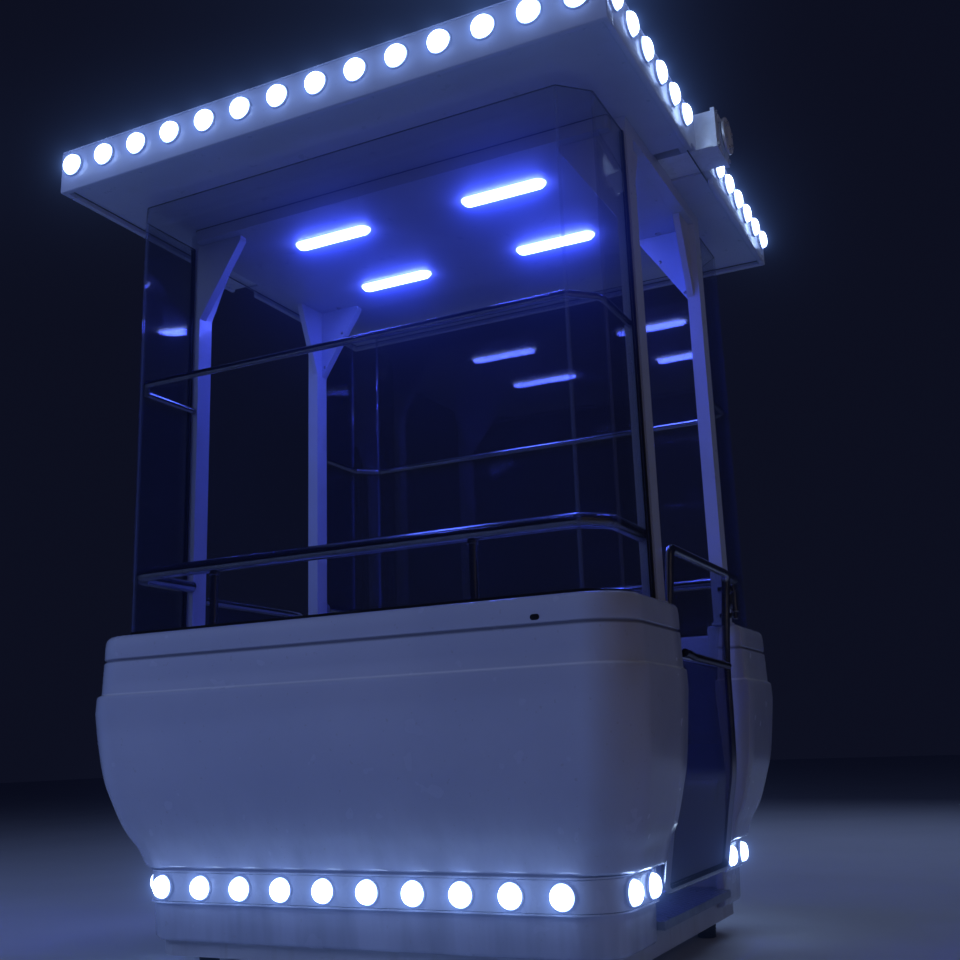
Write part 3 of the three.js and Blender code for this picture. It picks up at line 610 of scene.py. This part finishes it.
def make_tubs():
    for end, sign in ENDS:
        build = Build().add(tub_shape(sign))
        build.done(f"{end}_tub_shell", [GELCOAT], "cabin", "gelcoat", [f"{end}_tub"], sharp=50)
        plugs = Build()
        x, z, length, width = PLUG
        oval = [(a - sign * x, b + z) for a, b in stadium(length, width, 8)]
        plugs.add(prism(oval, *sorted((sign * 711, sign * 714)), "y", 0.8, 2))
        plugs.done(f"{end}_tub_plug", [SEAL], "cabin", "rubber")


# Lamps, in rows on the canopy's fascias and on the band round the foot
LAMP_SIDES = 32


def lamp(build, centre, axis, radius):
    """Domed lens on a bezel; the whole lamp stands 23 mm high."""
    bezel = [
        (radius, -1), (radius, 3), (radius - 0.8, 4.5), (radius - 2, 5), (radius - 3, 4), (radius - 3.6, 2),
    ]
    build.add(lathe(bezel, centre, axis, LAMP_SIDES), 1)
    lens_radius = radius - 2.8
    lens = []
    for k in range(10):
        t = (k / 9) * math.pi / 2
        lens.append((max(lens_radius * math.cos(t) ** 0.55, 0.4), 2.5 + 20 * math.sin(t) ** 0.95))
    points, faces = lathe(lens, centre, axis, LAMP_SIDES)
    # The lens's lowest rows glow less than its dome
    build.add((points, faces), [2 if max(face) < 4 * LAMP_SIDES else 3 for face in faces])


LAMP_PARTS = [BEZEL, LENS_RIM, LENS]
ROW_SHIFT = -12
ROW_PITCH = 125
ROW_COUNT = 14
SIDE_PITCH = 119.2
SIDE_COUNT = 6
LAMP_RADIUS = 34
LAMP_Z = 2310
CANOPY_X = 874
CANOPY_Y = 822
FASCIA_Z = (2230, 2360)
FASCIA_DEPTH = 45
LIP = 18
TUNNEL = (67.3, 2252.3, 2335.3)
NOTCH_Y = 118


def make_fascias():
    lip_x, lip_y = CANOPY_X - LIP, CANOPY_Y - LIP
    inner_y = CANOPY_Y - FASCIA_DEPTH
    bottom, top = FASCIA_Z
    half, tunnel_bottom, tunnel_top = TUNNEL
    for end, sign in ENDS:
        plan = [
            (-CANOPY_X, CANOPY_Y), (CANOPY_X, CANOPY_Y), (CANOPY_X, inner_y), (lip_x, inner_y),
            (lip_x, lip_y), (-lip_x, lip_y), (-lip_x, inner_y), (-CANOPY_X, inner_y),
        ]
        beam = Build().add(prism([(x, sign * y) for x, y in plan], bottom, top, "z", 3.5, 3))
        low, high = sorted((sign * inner_y, sign * (lip_y + 1)))
        beam.add(block(-lip_x - 1, lip_x + 1, low, high, tunnel_bottom, top - 1, 2, 2))
        for i in range(ROW_COUNT):
            x = ROW_SHIFT + (i - (ROW_COUNT - 1) / 2) * ROW_PITCH
            lamp(beam, (x, sign * CANOPY_Y, LAMP_Z), (0, sign, 0), LAMP_RADIUS)
        parts = [PAINT, *LAMP_PARTS]
        beam.done(f"{end}_fascia_beam", parts, "cabin", "white_paint", [f"fascia_{end}"])
    for side, sign in SIDES:
        reach = inner_y - 0.3
        tunnel = [(half, tunnel_bottom), (half, tunnel_top), (-half, tunnel_top), (-half, tunnel_bottom)]
        face = [(-reach, top), (reach, top), (reach, bottom), (NOTCH_Y, bottom), (NOTCH_Y, tunnel_bottom)]
        face += tunnel
        face += [(-NOTCH_Y, tunnel_bottom), (-NOTCH_Y, bottom), (-reach, bottom)]
        beam = Build().add(prism(face, *sorted((sign * CANOPY_X, sign * lip_x)), "x", 3.5, 3))
        back = [(-reach + 1, top - 1), (reach - 1, top - 1), (reach - 1, tunnel_bottom)]
        back += tunnel + [(-reach + 1, tunnel_bottom)]
        beam.add(prism(back, *sorted((sign * (lip_x + 1), sign * (CANOPY_X - FASCIA_DEPTH))), "x", 2, 2))
        for i in range(SIDE_COUNT):
            for way in (-1, 1):
                y = way * (i + 1.5) * SIDE_PITCH
                lamp(beam, (sign * CANOPY_X, y, LAMP_Z), (sign, 0, 0), LAMP_RADIUS)
        parts = [PAINT, *LAMP_PARTS]
        beam.done(f"{side}_fascia_beam", parts, "cabin", "white_paint", [f"fascia_{side}"])


BAND_X = 692
BAND_Y = 608
BAND_R = 120
BAND_LAMP_Z = 233
BAND_LAMP_RADIUS = 32
BAND_COUNT = 10
BAND_PITCH = 127.7
BAND_SIDE_LAMPS = (365, 500)
BACKING = (683.9, 599.9, 113)


def band_spot(along, half):
    over = max(0, abs(along) - (half - BAND_R))
    angle = math.asin(over / BAND_R)
    return angle, BAND_R * (1 - math.cos(angle))


def make_bands():
    for end, sign in ENDS:
        build = Build()
        rows = [(192, 0.0), (196, 0.0), (197.5, 3.0), (268.5, 3.0), (270, 0.0), (274, 0.0)]
        inner = u_line(*BACKING, TUB_END_Y, sign)
        for (z0, in0), (z1, in1) in zip(rows, rows[1:]):
            if z1 - z0 < 2:
                continue
            depth = min(in0, in1)
            outer = u_line(BAND_X - depth, BAND_Y - depth, BAND_R - depth, TUB_END_Y, sign)
            build.add(ribbon(outer, inner, z0, z1))
        spots = []
        for i in range(BAND_COUNT):
            x = ROW_SHIFT + (i - (BAND_COUNT - 1) / 2) * BAND_PITCH
            angle, drop = band_spot(x, BAND_X)
            axis = (math.copysign(math.sin(angle), x), sign * math.cos(angle), 0)
            spots.append(((x, sign * (BAND_Y - drop), BAND_LAMP_Z), axis))
        for side in (-1, 1):
            for distance in BAND_SIDE_LAMPS:
                angle, drop = band_spot(distance, BAND_Y)
                axis = (side * math.cos(angle), sign * math.sin(angle), 0)
                spots.append(((side * (BAND_X - drop), sign * distance, BAND_LAMP_Z), axis))
        for centre, axis in spots:
            centre = Vector(centre) - Vector(axis) * 2
            lamp(build, centre, axis, BAND_LAMP_RADIUS)
        parts = [BAND, *LAMP_PARTS]
        build.done(f"{end}_band_lamps", parts, "cabin", "lamp_band", [f"{end}_lamp_band"])


# Windows, seals and rails
GLASS_X = 748
GLASS_Y = 667
GLASS_CUT = 75
GLASS_TOP = 2200
GLASS_THICK = 6
POST_OUT_Y = 365.3
HANDRAIL = (722, 640, 60)
HANDRAIL_Z = 1075
UPPER_RAIL = (731, 650, 66)
UPPER_RAIL_Z = 1638
STANCHION_X = 396


def cut_line(half_x, half_y, cut, sign, bend, steps=4, end_y=POST_OUT_Y):
    """Plan line round one end of the cabin whose corners are cut, with small bends."""
    right = [(half_x, end_y, 0), (half_x, half_y - cut, 0), (half_x - cut, half_y, 0)]
    left = [(-x, y, z) for x, y, z in reversed(right)]
    return [(p.x, sign * p.y) for p in rounded(right + left, bend, steps)]


def window_line(out, sign, end_y=POST_OUT_Y):
    cut = GLASS_CUT + out * (2 - math.sqrt(2))
    return cut_line(GLASS_X + out, GLASS_Y + out, cut, sign, 14 + out, 4, end_y)


def make_windows():
    for end, sign in ENDS:
        inner = window_line(-GLASS_THICK, sign)
        body = ribbon(window_line(0, sign), inner, RIM_Z + 0.3, GLASS_TOP - 1.2)
        # Of every five strips of the sheet, four of four faces each lie in a bend; these get the lighter,
        # less clear sheet, a painted highlight on the bends.
        sheet = Build().add(body, [2 if i // 4 % 5 else 0 for i in range(len(body[1]))])
        inner = window_line(0.8 - GLASS_THICK, sign)
        sheet.add(ribbon(window_line(-0.8, sign), inner, GLASS_TOP - 1.2, GLASS_TOP), 1)
        glazing = [CLEAR, CLEAR_EDGE, CLEAR_BEND_HIGHLIGHT]
        sheet.done(f"{end}_glazing", glazing, "cabin", "clear_sheet", [f"{end}_window"])
        seals = Build()
        for z0, z1, lip in ((RIM_Z + 0.2, RIM_Z + 6, 4), (RIM_Z + 6, RIM_Z + 10, 2.4)):
            for out, inset in ((lip, 0.1), (-6.1, -6 - min(lip, 1.6))):
                seals.add(ribbon(window_line(out, sign), window_line(inset, sign), z0, z1))
        for side in (-1, 1):
            for x0, x1 in ((GLASS_X + 0.1, GLASS_X + 2.6), (GLASS_X - 9, GLASS_X - 6.1)):
                xs = sorted((side * x0, side * x1))
                ys = sorted((sign * POST_OUT_Y, sign * (POST_OUT_Y + 10)))
                seals.add(block(*xs, *ys, RIM_Z + 11, GLASS_TOP - 2, 1, 2))
        seals.done(f"{end}_window_seals", [SEAL], "cabin", "rubber")


def rail_path(half_x, half_y, cut, sign, z, bend):
    return [(x, y, z) for x, y in cut_line(half_x, half_y, cut, sign, bend, 5)]


def make_rails():
    for end, sign in ENDS:
        rail = Build().add(sweep(rail_path(*HANDRAIL, sign, HANDRAIL_Z, 34), 19, 28))
        for x in (ROW_SHIFT - STANCHION_X, ROW_SHIFT + STANCHION_X):
            y = sign * HANDRAIL[1]
            leg = [(12, 0), (12, 172)]
            rail.add(lathe(leg, (x, y, RIM_Z + 1), (0, 0, 1), 24))
            flange = [(20, 0.3), (20, 4), (18.5, 5.3), (14.5, 5.3), (13, 7.5), (12.2, 9)]
            rail.add(lathe(flange, (x, y, RIM_Z), (0, 0, 1), 28))
            collar = [(12.2, 0), (14.2, 1), (14.8, 5), (14.2, 9), (12.2, 10)]
            rail.add(lathe(collar, (x, y, HANDRAIL_Z - 28), (0, 0, 1), 24))
        rail.done(f"{end}_handrail_tube", [STAINLESS], "cabin", "stainless", [f"{end}_handrail"])
        thin = Build().add(sweep(rail_path(*UPPER_RAIL, sign, UPPER_RAIL_Z, 26), 10, 20))
        thin.done(f"{end}_upper_rail_tube", [STAINLESS], "cabin", "stainless", [f"{end}_upper_rail"])


# Gates
GATE_LINE = [(1048, 770), (901, 758), (778, 750), (640, 748), (480, 742), (367, 722), (257, 704), (212, 696)]
HINGE = (785, 297)
KNUCKLE_Z = 965
LUG_HEIGHTS = (925, 1005)
STILES = (280, -286)
TUBE = 12.5


def gate_x(z):
    rows = [(-h, x) for h, x in GATE_LINE]
    i = 0
    while i < len(rows) - 2 and -z > rows[i + 1][0]:
        i += 1
    (za, xa), (zb, xb) = rows[i], rows[i + 1]
    zc, xc = rows[max(i - 1, 0)]
    zd, xd = rows[min(i + 2, len(rows) - 1)]
    span = zb - za
    t = (-z - za) / span
    ma = (xb - xc) / (zb - zc) * span
    mb = (xd - xa) / (zd - za) * span
    a = (2 * t ** 3 - 3 * t ** 2 + 1) * xa + (t ** 3 - 2 * t ** 2 + t) * ma
    return a + (3 * t ** 2 - 2 * t ** 3) * xb + (t ** 3 - t ** 2) * mb


def gate_heights(low, high, steps):
    return [high + (low - high) * i / steps for i in range(steps + 1)]


def mirror(shape, side):
    points, faces = shape
    return [(side * p[0], p[1], p[2]) for p in points], faces


def pane(low, high, steps, thick=5, edge=0.3):
    y0, y1 = STILES[1] + TUBE + edge, STILES[0] - TUBE - edge
    heights = gate_heights(low, high, steps)
    points = []
    for y in (y0, y1):
        for offset in (thick / 2, -thick / 2):
            points += [(gate_x(z) + offset, y, z) for z in heights]
    n = len(heights)
    faces = []
    for i in range(n - 1):
        faces += [(i, i + 1, 2 * n + i + 1, 2 * n + i), (n + i + 1, n + i, 3 * n + i, 3 * n + i + 1)]
        faces += [(i + 1, i, n + i, n + i + 1), (2 * n + i, 2 * n + i + 1, 3 * n + i + 1, 3 * n + i)]
    faces += [(0, 2 * n, 3 * n, n), (n - 1, 2 * n - 1, 4 * n - 1, 3 * n - 1)]
    return points, faces


def gate_frame_shape(side):
    build = Build()
    top, bottom = GATE_LINE[0][0], GATE_LINE[-1][0]
    heights = gate_heights(bottom, top, 26)
    down = [(gate_x(z), STILES[0], z) for z in heights]
    up = [(gate_x(z), STILES[1], z) for z in reversed(heights)]
    loop = down[1:-1] + [down[-1], up[0]] + up[1:-1] + [up[-1], down[0]]
    path = []
    for i, p in enumerate(loop):
        if p in (down[-1], up[0], up[-1], down[0]):
            before, after = Vector(loop[i - 1]), Vector(loop[(i + 1) % len(loop)])
            corner = Vector(p)
            a = corner + (before - corner).normalized() * 26
            b = corner + (after - corner).normalized() * 26
            for k in range(7):
                t = k / 6
                path.append(a.lerp(corner, t).lerp(corner.lerp(b, t), t))
        else:
            path.append(Vector(p))
    path.append(path[0] + (path[1] - path[0]) * 0.02)
    build.add(mirror(sweep(path, TUBE, 20), side))
    mid = GATE_LINE[2][0]
    bar = [(gate_x(mid), y, mid) for y in (STILES[1], STILES[0])]
    build.add(mirror(sweep(bar, 9, 20), side))
    z = KNUCKLE_Z
    barrel = [(6.6, -30), (9.5, -30), (10.5, -29), (10.5, 29), (9.5, 30), (6.6, 30)]
    build.add(mirror(lathe(barrel, (*HINGE, z), (0, 0, 1), 24), side))
    leaf = block(gate_x(z) + 6, HINGE[0] - 2, HINGE[1] - 9, HINGE[1] - 4, z - 23, z + 23, 1.5, 2)
    build.add(mirror(leaf, side))
    ear = block(gate_x(z) + 4, gate_x(z) + 12, STILES[0], HINGE[1] - 5, z - 23, z + 23, 1.5, 2)
    build.add(mirror(ear, side))
    return build


def make_gates():
    for side, sign in SIDES:
        body = f"{side}_gate"
        frame_build = gate_frame_shape(sign)
        frame_build.done(f"{side}_gate_tubes", [STAINLESS], body, "stainless", [f"{side}_gate_frame"])
        upper = Build().add(mirror(pane(788, 1034.5, 6), sign))
        upper.done(f"{side}_gate_clear_pane", [CLEAR], body, "clear_sheet", [f"{side}_gate_upper_pane"])
        lower = Build().add(mirror(pane(225.5, 768, 30), sign))
        lower.done(f"{side}_gate_lower_sheet", [GATE_SHEET], body, "gate_sheet", [f"{side}_gate_lower_panel"])
        x = gate_x(776) + 26
        line = [(x, -232, 784), (x, -190, 782), (x, -150, 777), (x, 0, 774), (x, 196, 771)]
        grab = Build().add(mirror(sweep(rounded(line, 120, 6), 10, 20), sign))
        for y, z in ((-205, 782), (175, 772)):
            grab.add(mirror(lathe([(7, 0), (6, 3), (6, 20)], (gate_x(778) + 9.2, y, z), (1, 0, 0), 20), sign))
        for y, z, axis in ((-232, 784, -1), (196, 771, 1)):
            knob = [(9.9, -1), (9.6, 1.2), (7.5, 2.6), (3, 3.4)]
            grab.add(mirror(lathe(knob, (x, y - axis * 3.4, z), (0, axis, 0), 20), sign))
        grab.done(f"{side}_gate_grab_rail", [GRIP], body, "black_grip", [f"{side}_gate_grab_bar"])
        pin = [(4.5, 913), (6, 914.5), (6, 1015.5), (4.5, 1017)]
        rod = Build().add(mirror(lathe(pin, (*HINGE, 0), (0, 0, 1), 24), sign))
        for z in LUG_HEIGHTS:
            lug = block(736, HINGE[0] + 6, HINGE[1] + 2, 304.7, z - 8, z + 8, 1.2, 2)
            rod.add(mirror(lug, sign))
        rod.done(f"{side}_hinge_pin", [STAINLESS], "cabin", "stainless", [f"{side}_gate_hinge_rod"])


# Canopy underside, light bars, roof trim, pivots and base
SOFFIT_Z = 2245
CEILING_Z = 2206
LIGHT_BAR_SPOT = (308, 203)


def stadium(length, width, corner_steps=10):
    radius = width / 2
    half = length / 2 - radius
    points = []
    for k in range(corner_steps + 1):
        angle = -math.pi / 2 + math.pi * k / corner_steps
        points.append((half + radius * math.cos(angle), radius * math.sin(angle)))
    for k in range(corner_steps + 1):
        angle = math.pi / 2 + math.pi * k / corner_steps
        points.append((-half + radius * math.cos(angle), radius * math.sin(angle)))
    return points


def layered(rows, centre):
    """Stack of stadium outlines: rows of (length, width, z)."""
    points = []
    for length, width, z in rows:
        points += [(centre[0] + x, centre[1] + y, z) for x, y in stadium(length, width)]
    count = len(stadium(10, 5))
    faces = ring_faces(len(rows), count)
    faces.append(tuple(reversed(range(count))))
    faces.append(tuple(range((len(rows) - 1) * count, len(rows) * count)))
    return points, faces


def make_light_bars():
    frames = Build()
    for end, sy in ENDS:
        for side, sx in SIDES:
            x, y = sx * LIGHT_BAR_SPOT[0], sy * LIGHT_BAR_SPOT[1]
            rows = [(268, 42, 2205.7), (268, 42, 2199), (266, 40, 2195), (261, 35, 2192), (253, 27, 2191)]
            bar = Build().add(layered(rows, (x, y)))
            bar.done(f"{end}_{side}_light", [TUBE_LIGHT], "cabin", "light_bar", [f"light_bar_{end}_{side}"])
            rim = [(280, 54, 2205.8), (280, 54, 2202), (278, 52, 2200), (269, 43, 2199)]
            frames.add(layered(rim, (x, y)))
    frames.done("light_bar_frames", [BAR_RIM], "cabin", "light_bar")


def rim_strip(half_x, half_y, width, z0, z1, radius):
    """Thin closed strip round a rectangle, on its outer side."""
    ends = []
    for grow in (0, -width):
        r = max(radius + grow, 0.5)
        right = u_line(half_x + grow, half_y + grow, r, 0, 1, 5)
        left = u_line(half_x + grow, half_y + grow, r, 0, -1, 5)
        ends.append((right, left))
    (out_a, out_b), (in_a, in_b) = ends
    return ribbon(out_a, in_a, z0, z1), ribbon(out_b, in_b, z0, z1)


def make_canopy_shadow_strips():
    # Black strips stand in for the shadow gaps: painted shadow along the inside of the fascia lip and round
    # the ceiling panel.
    shadow_strips = Build()
    for shape in rim_strip(855.9, 803.9, 3.4, SOFFIT_Z - 1.4, SOFFIT_Z + 1, 3):
        shadow_strips.add(shape)
    for shape in rim_strip(717.6, 398.9, 2.6, SOFFIT_Z - 1.4, SOFFIT_Z + 0.5, 12):
        shadow_strips.add(shape)
    shadow_strips.done("soffit_seals", [SEAL], "cabin", "rubber")


def make_screws():
    """Screws through the wedge gussets, and a capped hole in the ceiling beside each."""
    screws = Build()
    for sx in (-1, 1):
        for sy in (-1, 1):
            for x, z in ((625, 2110), (702, 1987)):
                screws.add(dome_head((sx * x, sy * 334.9, z), (0, -sy, 0), 6.5, 3))
            screws.add(dome_head((sx * 630, sy * 322, CEILING_Z), (0, 0, -1), 11, 3))
    screws.done("gusset_screws", [BOLT_STEEL], "cabin", "hub_steel")


ROOF_EDGE_Z = 2364.3
ROOF_RISE = 20
ROOF_RUN = 330


def roof_height(x, y):
    """Height of the hipped roof sheet above a point of its plan."""
    inside = min(CANOPY_X - abs(x), CANOPY_Y - abs(y))
    return ROOF_EDGE_Z + ROOF_RISE * max(0.0, min(1.0, inside / ROOF_RUN))


def make_roof_trim():
    """Ridge caps along the hips, and screws round the sheet's edge."""
    trim = Build()
    for sx in (-1, 1):
        for sy in (-1, 1):
            line = []
            for inside in (34, 120, 210, 300):
                x, y = sx * (CANOPY_X - inside), sy * (CANOPY_Y - inside)
                line.append((x, y, roof_height(x, y) - 2.5))
            trim.add(sweep(line, 9, 12, 0.4))
    spots = [(-810 + 162 * i, sy * 790) for i in range(11) for sy in (-1, 1)]
    spots += [(sx * 842, -640 + 160 * i) for i in range(9) for sx in (-1, 1)]
    for x, y in spots:
        trim.add(dome_head((x, y, roof_height(x, y)), (0, 0, 1), 7, 2.6))
    trim.done("roof_trim", [HOUSING_PAINT], "cabin", "white_paint")


def make_rivets():
    heads = Build()
    for sign in (-1, 1):
        for i in range(9):
            heads.add(dome_head((-800 + 200 * i, sign * 780, SOFFIT_Z), (0, 0, -1)))
        for i in range(7):
            if abs(-600 + 200 * i) > 1:
                heads.add(dome_head((sign * 836, -600 + 200 * i, SOFFIT_Z), (0, 0, -1)))
        for i in range(8):
            heads.add(dome_head((-665 + 190 * i, sign * 385, CEILING_Z), (0, 0, -1), 4, 2))
        for i in range(4):
            heads.add(dome_head((sign * 698, -270 + 180 * i, CEILING_Z), (0, 0, -1), 4, 2))
    heads.done("canopy_rivets", [PAINT], "cabin", "white_paint")


PIVOT_Z = 2309
RIM_PLATE_X = 938
FLANGE_X = 957.8
BOLT_CIRCLE = 40


def make_pivots():
    for side, sign in SIDES:
        finish_node(f"pivot_housing_{side}", HOUSING_PAINT, 4, 3)
        axle = [(26, 880), (26, 947), (30, 948), (34, 949), (54, 950), (55, 951), (55, 957), (54, 958),
                (24, 958), (22, 956), (0.5, 956)]
        hub = Build().add(mirror(lathe(axle, (0, 0, PIVOT_Z), (1, 0, 0), 56), sign))
        for k in range(6):
            angle = math.radians(60 * k + 30)
            y, z = BOLT_CIRCLE * math.cos(angle), PIVOT_Z + BOLT_CIRCLE * math.sin(angle)
            centre = (FLANGE_X, y, z)
            for shape in hex_head(centre, (1, 0, 0), 11, 4.2):
                hub.add(mirror(shape, sign), 1)
        hub.done(f"{side}_hub_flange", [HUB_STEEL, BOLT_STEEL], f"{side}_pivot", "hub_steel", [f"{side}_hub"])
        bolts = Build()
        for y in (-61, 61):
            for z in (-51, 51):
                for shape in hex_head((RIM_PLATE_X, y, PIVOT_Z + z), (1, 0, 0), 13, 6):
                    bolts.add(mirror(shape, sign))
        bolts.done(f"{side}_housing_bolts", [BOLT_STEEL], "cabin", "hub_steel")


FOOT_SPOT = (595, 400)


def make_feet():
    for end, sy in ENDS:
        for side, sx in SIDES:
            rings = [(24, 0), (26.5, 1.5), (27, 8)]
            for k in range(4):
                z = 10 + 9 * k
                r = 27.4 + 0.6 * k
                rings += [(r - 1.6, z), (r - 1.6, z + 1.5), (r, z + 3), (r, z + 8)]
            rings += [(29.8, 48), (30, 52), (29.4, 54.8)]
            foot = Build().add(lathe(rings, (sx * FOOT_SPOT[0], sy * FOOT_SPOT[1], 0), (0, 0, 1), 40))
            foot.done(f"{end}_{side}_foot", [RUBBER], "cabin", "rubber", [f"foot_{end}_{side}"])


def make_frame():
    for side, _ in SIDES:
        for end, _ in ENDS:
            finish_node(f"post_{end}_{side}", PAINT, 2.5, 3)
        finish_node(f"header_{side}", PAINT, 2.5, 3)
    for end, _ in ENDS:
        finish_node(f"{end}_seat", SEAT, 14, 4, 30)
    finish_node("soffit", PAINT, 2, 2)
    finish_node("ceiling_panel", PAINT, 2, 2)
    finish_node("roof_panel", PAINT, 2, 2, 20)
    finish_node("base_pan", BASE_PAINT, 4, 3, 50)
    finish_node("floor_plate", TREAD, 1.5, 2, 50)


# Stage and lights
def make_stage():
    mesh = bpy.data.meshes.new("floor")
    size = 30
    corners = [(-size, -size, 0), (size, -size, 0), (size, size, 0), (-size, size, 0)]
    mesh.from_pydata(corners, [], [(0, 1, 2, 3)])
    floor = bpy.data.objects.new("floor", mesh)
    bpy.context.scene.collection.objects.link(floor)
    s = Shader("floor", (0.56, 0.60, 0.69), 0.7)
    s.plug("Base Color", s.mix(s.span(s.noise(1.5, 3), 0.3, 0.7), (0.54, 0.58, 0.67), (0.58, 0.62, 0.71)))
    mesh.materials.append(s.material)


def softbox(name, place, aim, size, energy, color, glossy=False, only=None):
    data = bpy.data.lights.new(name, "AREA")
    data.shape = "RECTANGLE"
    data.size, data.size_y = size
    data.energy = energy
    data.color = color
    light = bpy.data.objects.new(name, data)
    bpy.context.scene.collection.objects.link(light)
    light.visible_glossy = glossy
    if only:
        lit = bpy.data.collections.new(f"lit_by_{name}")
        for piece in only:
            lit.objects.link(piece)
        light.light_linking.receiver_collection = lit
    light.location = place
    light.rotation_euler = (Vector(aim) - Vector(place)).to_track_quat("-Z", "Y").to_euler()


def make_lights():
    world = bpy.data.worlds.new("studio")
    world.use_nodes = True
    world.node_tree.nodes["Background"].inputs["Color"].default_value = (0.004, 0.005, 0.014, 1)
    world.node_tree.nodes["Background"].inputs["Strength"].default_value = 1.0
    bpy.context.scene.world = world
    softbox("key", (-4.0, -4.5, 4.0), (0, 0, 1.0), (3.5, 3.0), 110, (0.37, 0.50, 1.0))
    softbox("fill", (4.6, -3.0, 2.2), (0, 0, 1.0), (2.5, 2.5), 9.5, (1.0, 0.78, 0.60))
    softbox("rim", (1.5, 4.5, 4.5), (0, 0, 1.2), (3.0, 2.0), 55, (0.5, 0.62, 1.0))
    softbox("low", (-0.5, -3.8, 0.25), (0, 0, 1.6), (3.0, 0.8), 4, (0.3, 0.42, 1.0))
    metals = {STAINLESS.name, HUB_STEEL.name, BOLT_STEEL.name}
    meshes = [o for o in bpy.data.objects if o.type == "MESH"]
    bright = [o for o in meshes if metals & {m.name for m in o.data.materials if m}]
    softbox("glint", (4.6, -3.0, 2.2), (0, 0, 1.0), (2.0, 2.5), 12, (1.0, 0.82, 0.70), True, bright)


def make_glow():
    scene = bpy.context.scene
    scene.view_settings.view_transform = "Standard"
    scene.use_nodes = True
    tree = scene.node_tree
    tree.nodes.clear()
    layers = tree.nodes.new("CompositorNodeRLayers")
    glare = tree.nodes.new("CompositorNodeGlare")
    glare.glare_type = "BLOOM"
    glare.quality = "HIGH"
    for name, value in (("Threshold", 1.2), ("Strength", 0.32), ("Size", 0.2), ("Saturation", 1.0)):
        if name in glare.inputs:
            glare.inputs[name].default_value = value
    if "Tint" in glare.inputs:
        glare.inputs["Tint"].default_value = (0.36, 0.52, 1.0, 1)
    out = tree.nodes.new("CompositorNodeComposite")
    tree.links.new(layers.outputs["Image"], glare.inputs["Image"])
    tree.links.new(glare.outputs["Image"], out.inputs["Image"])


make_frame()
make_tubs()
make_fascias()
make_bands()
make_windows()
make_rails()
make_gates()
make_light_bars()
make_canopy_shadow_strips()
make_roof_trim()
make_screws()
make_rivets()
make_pivots()
make_feet()
make_stage()
make_lights()
make_glow()

bpy.context.view_layer.update()
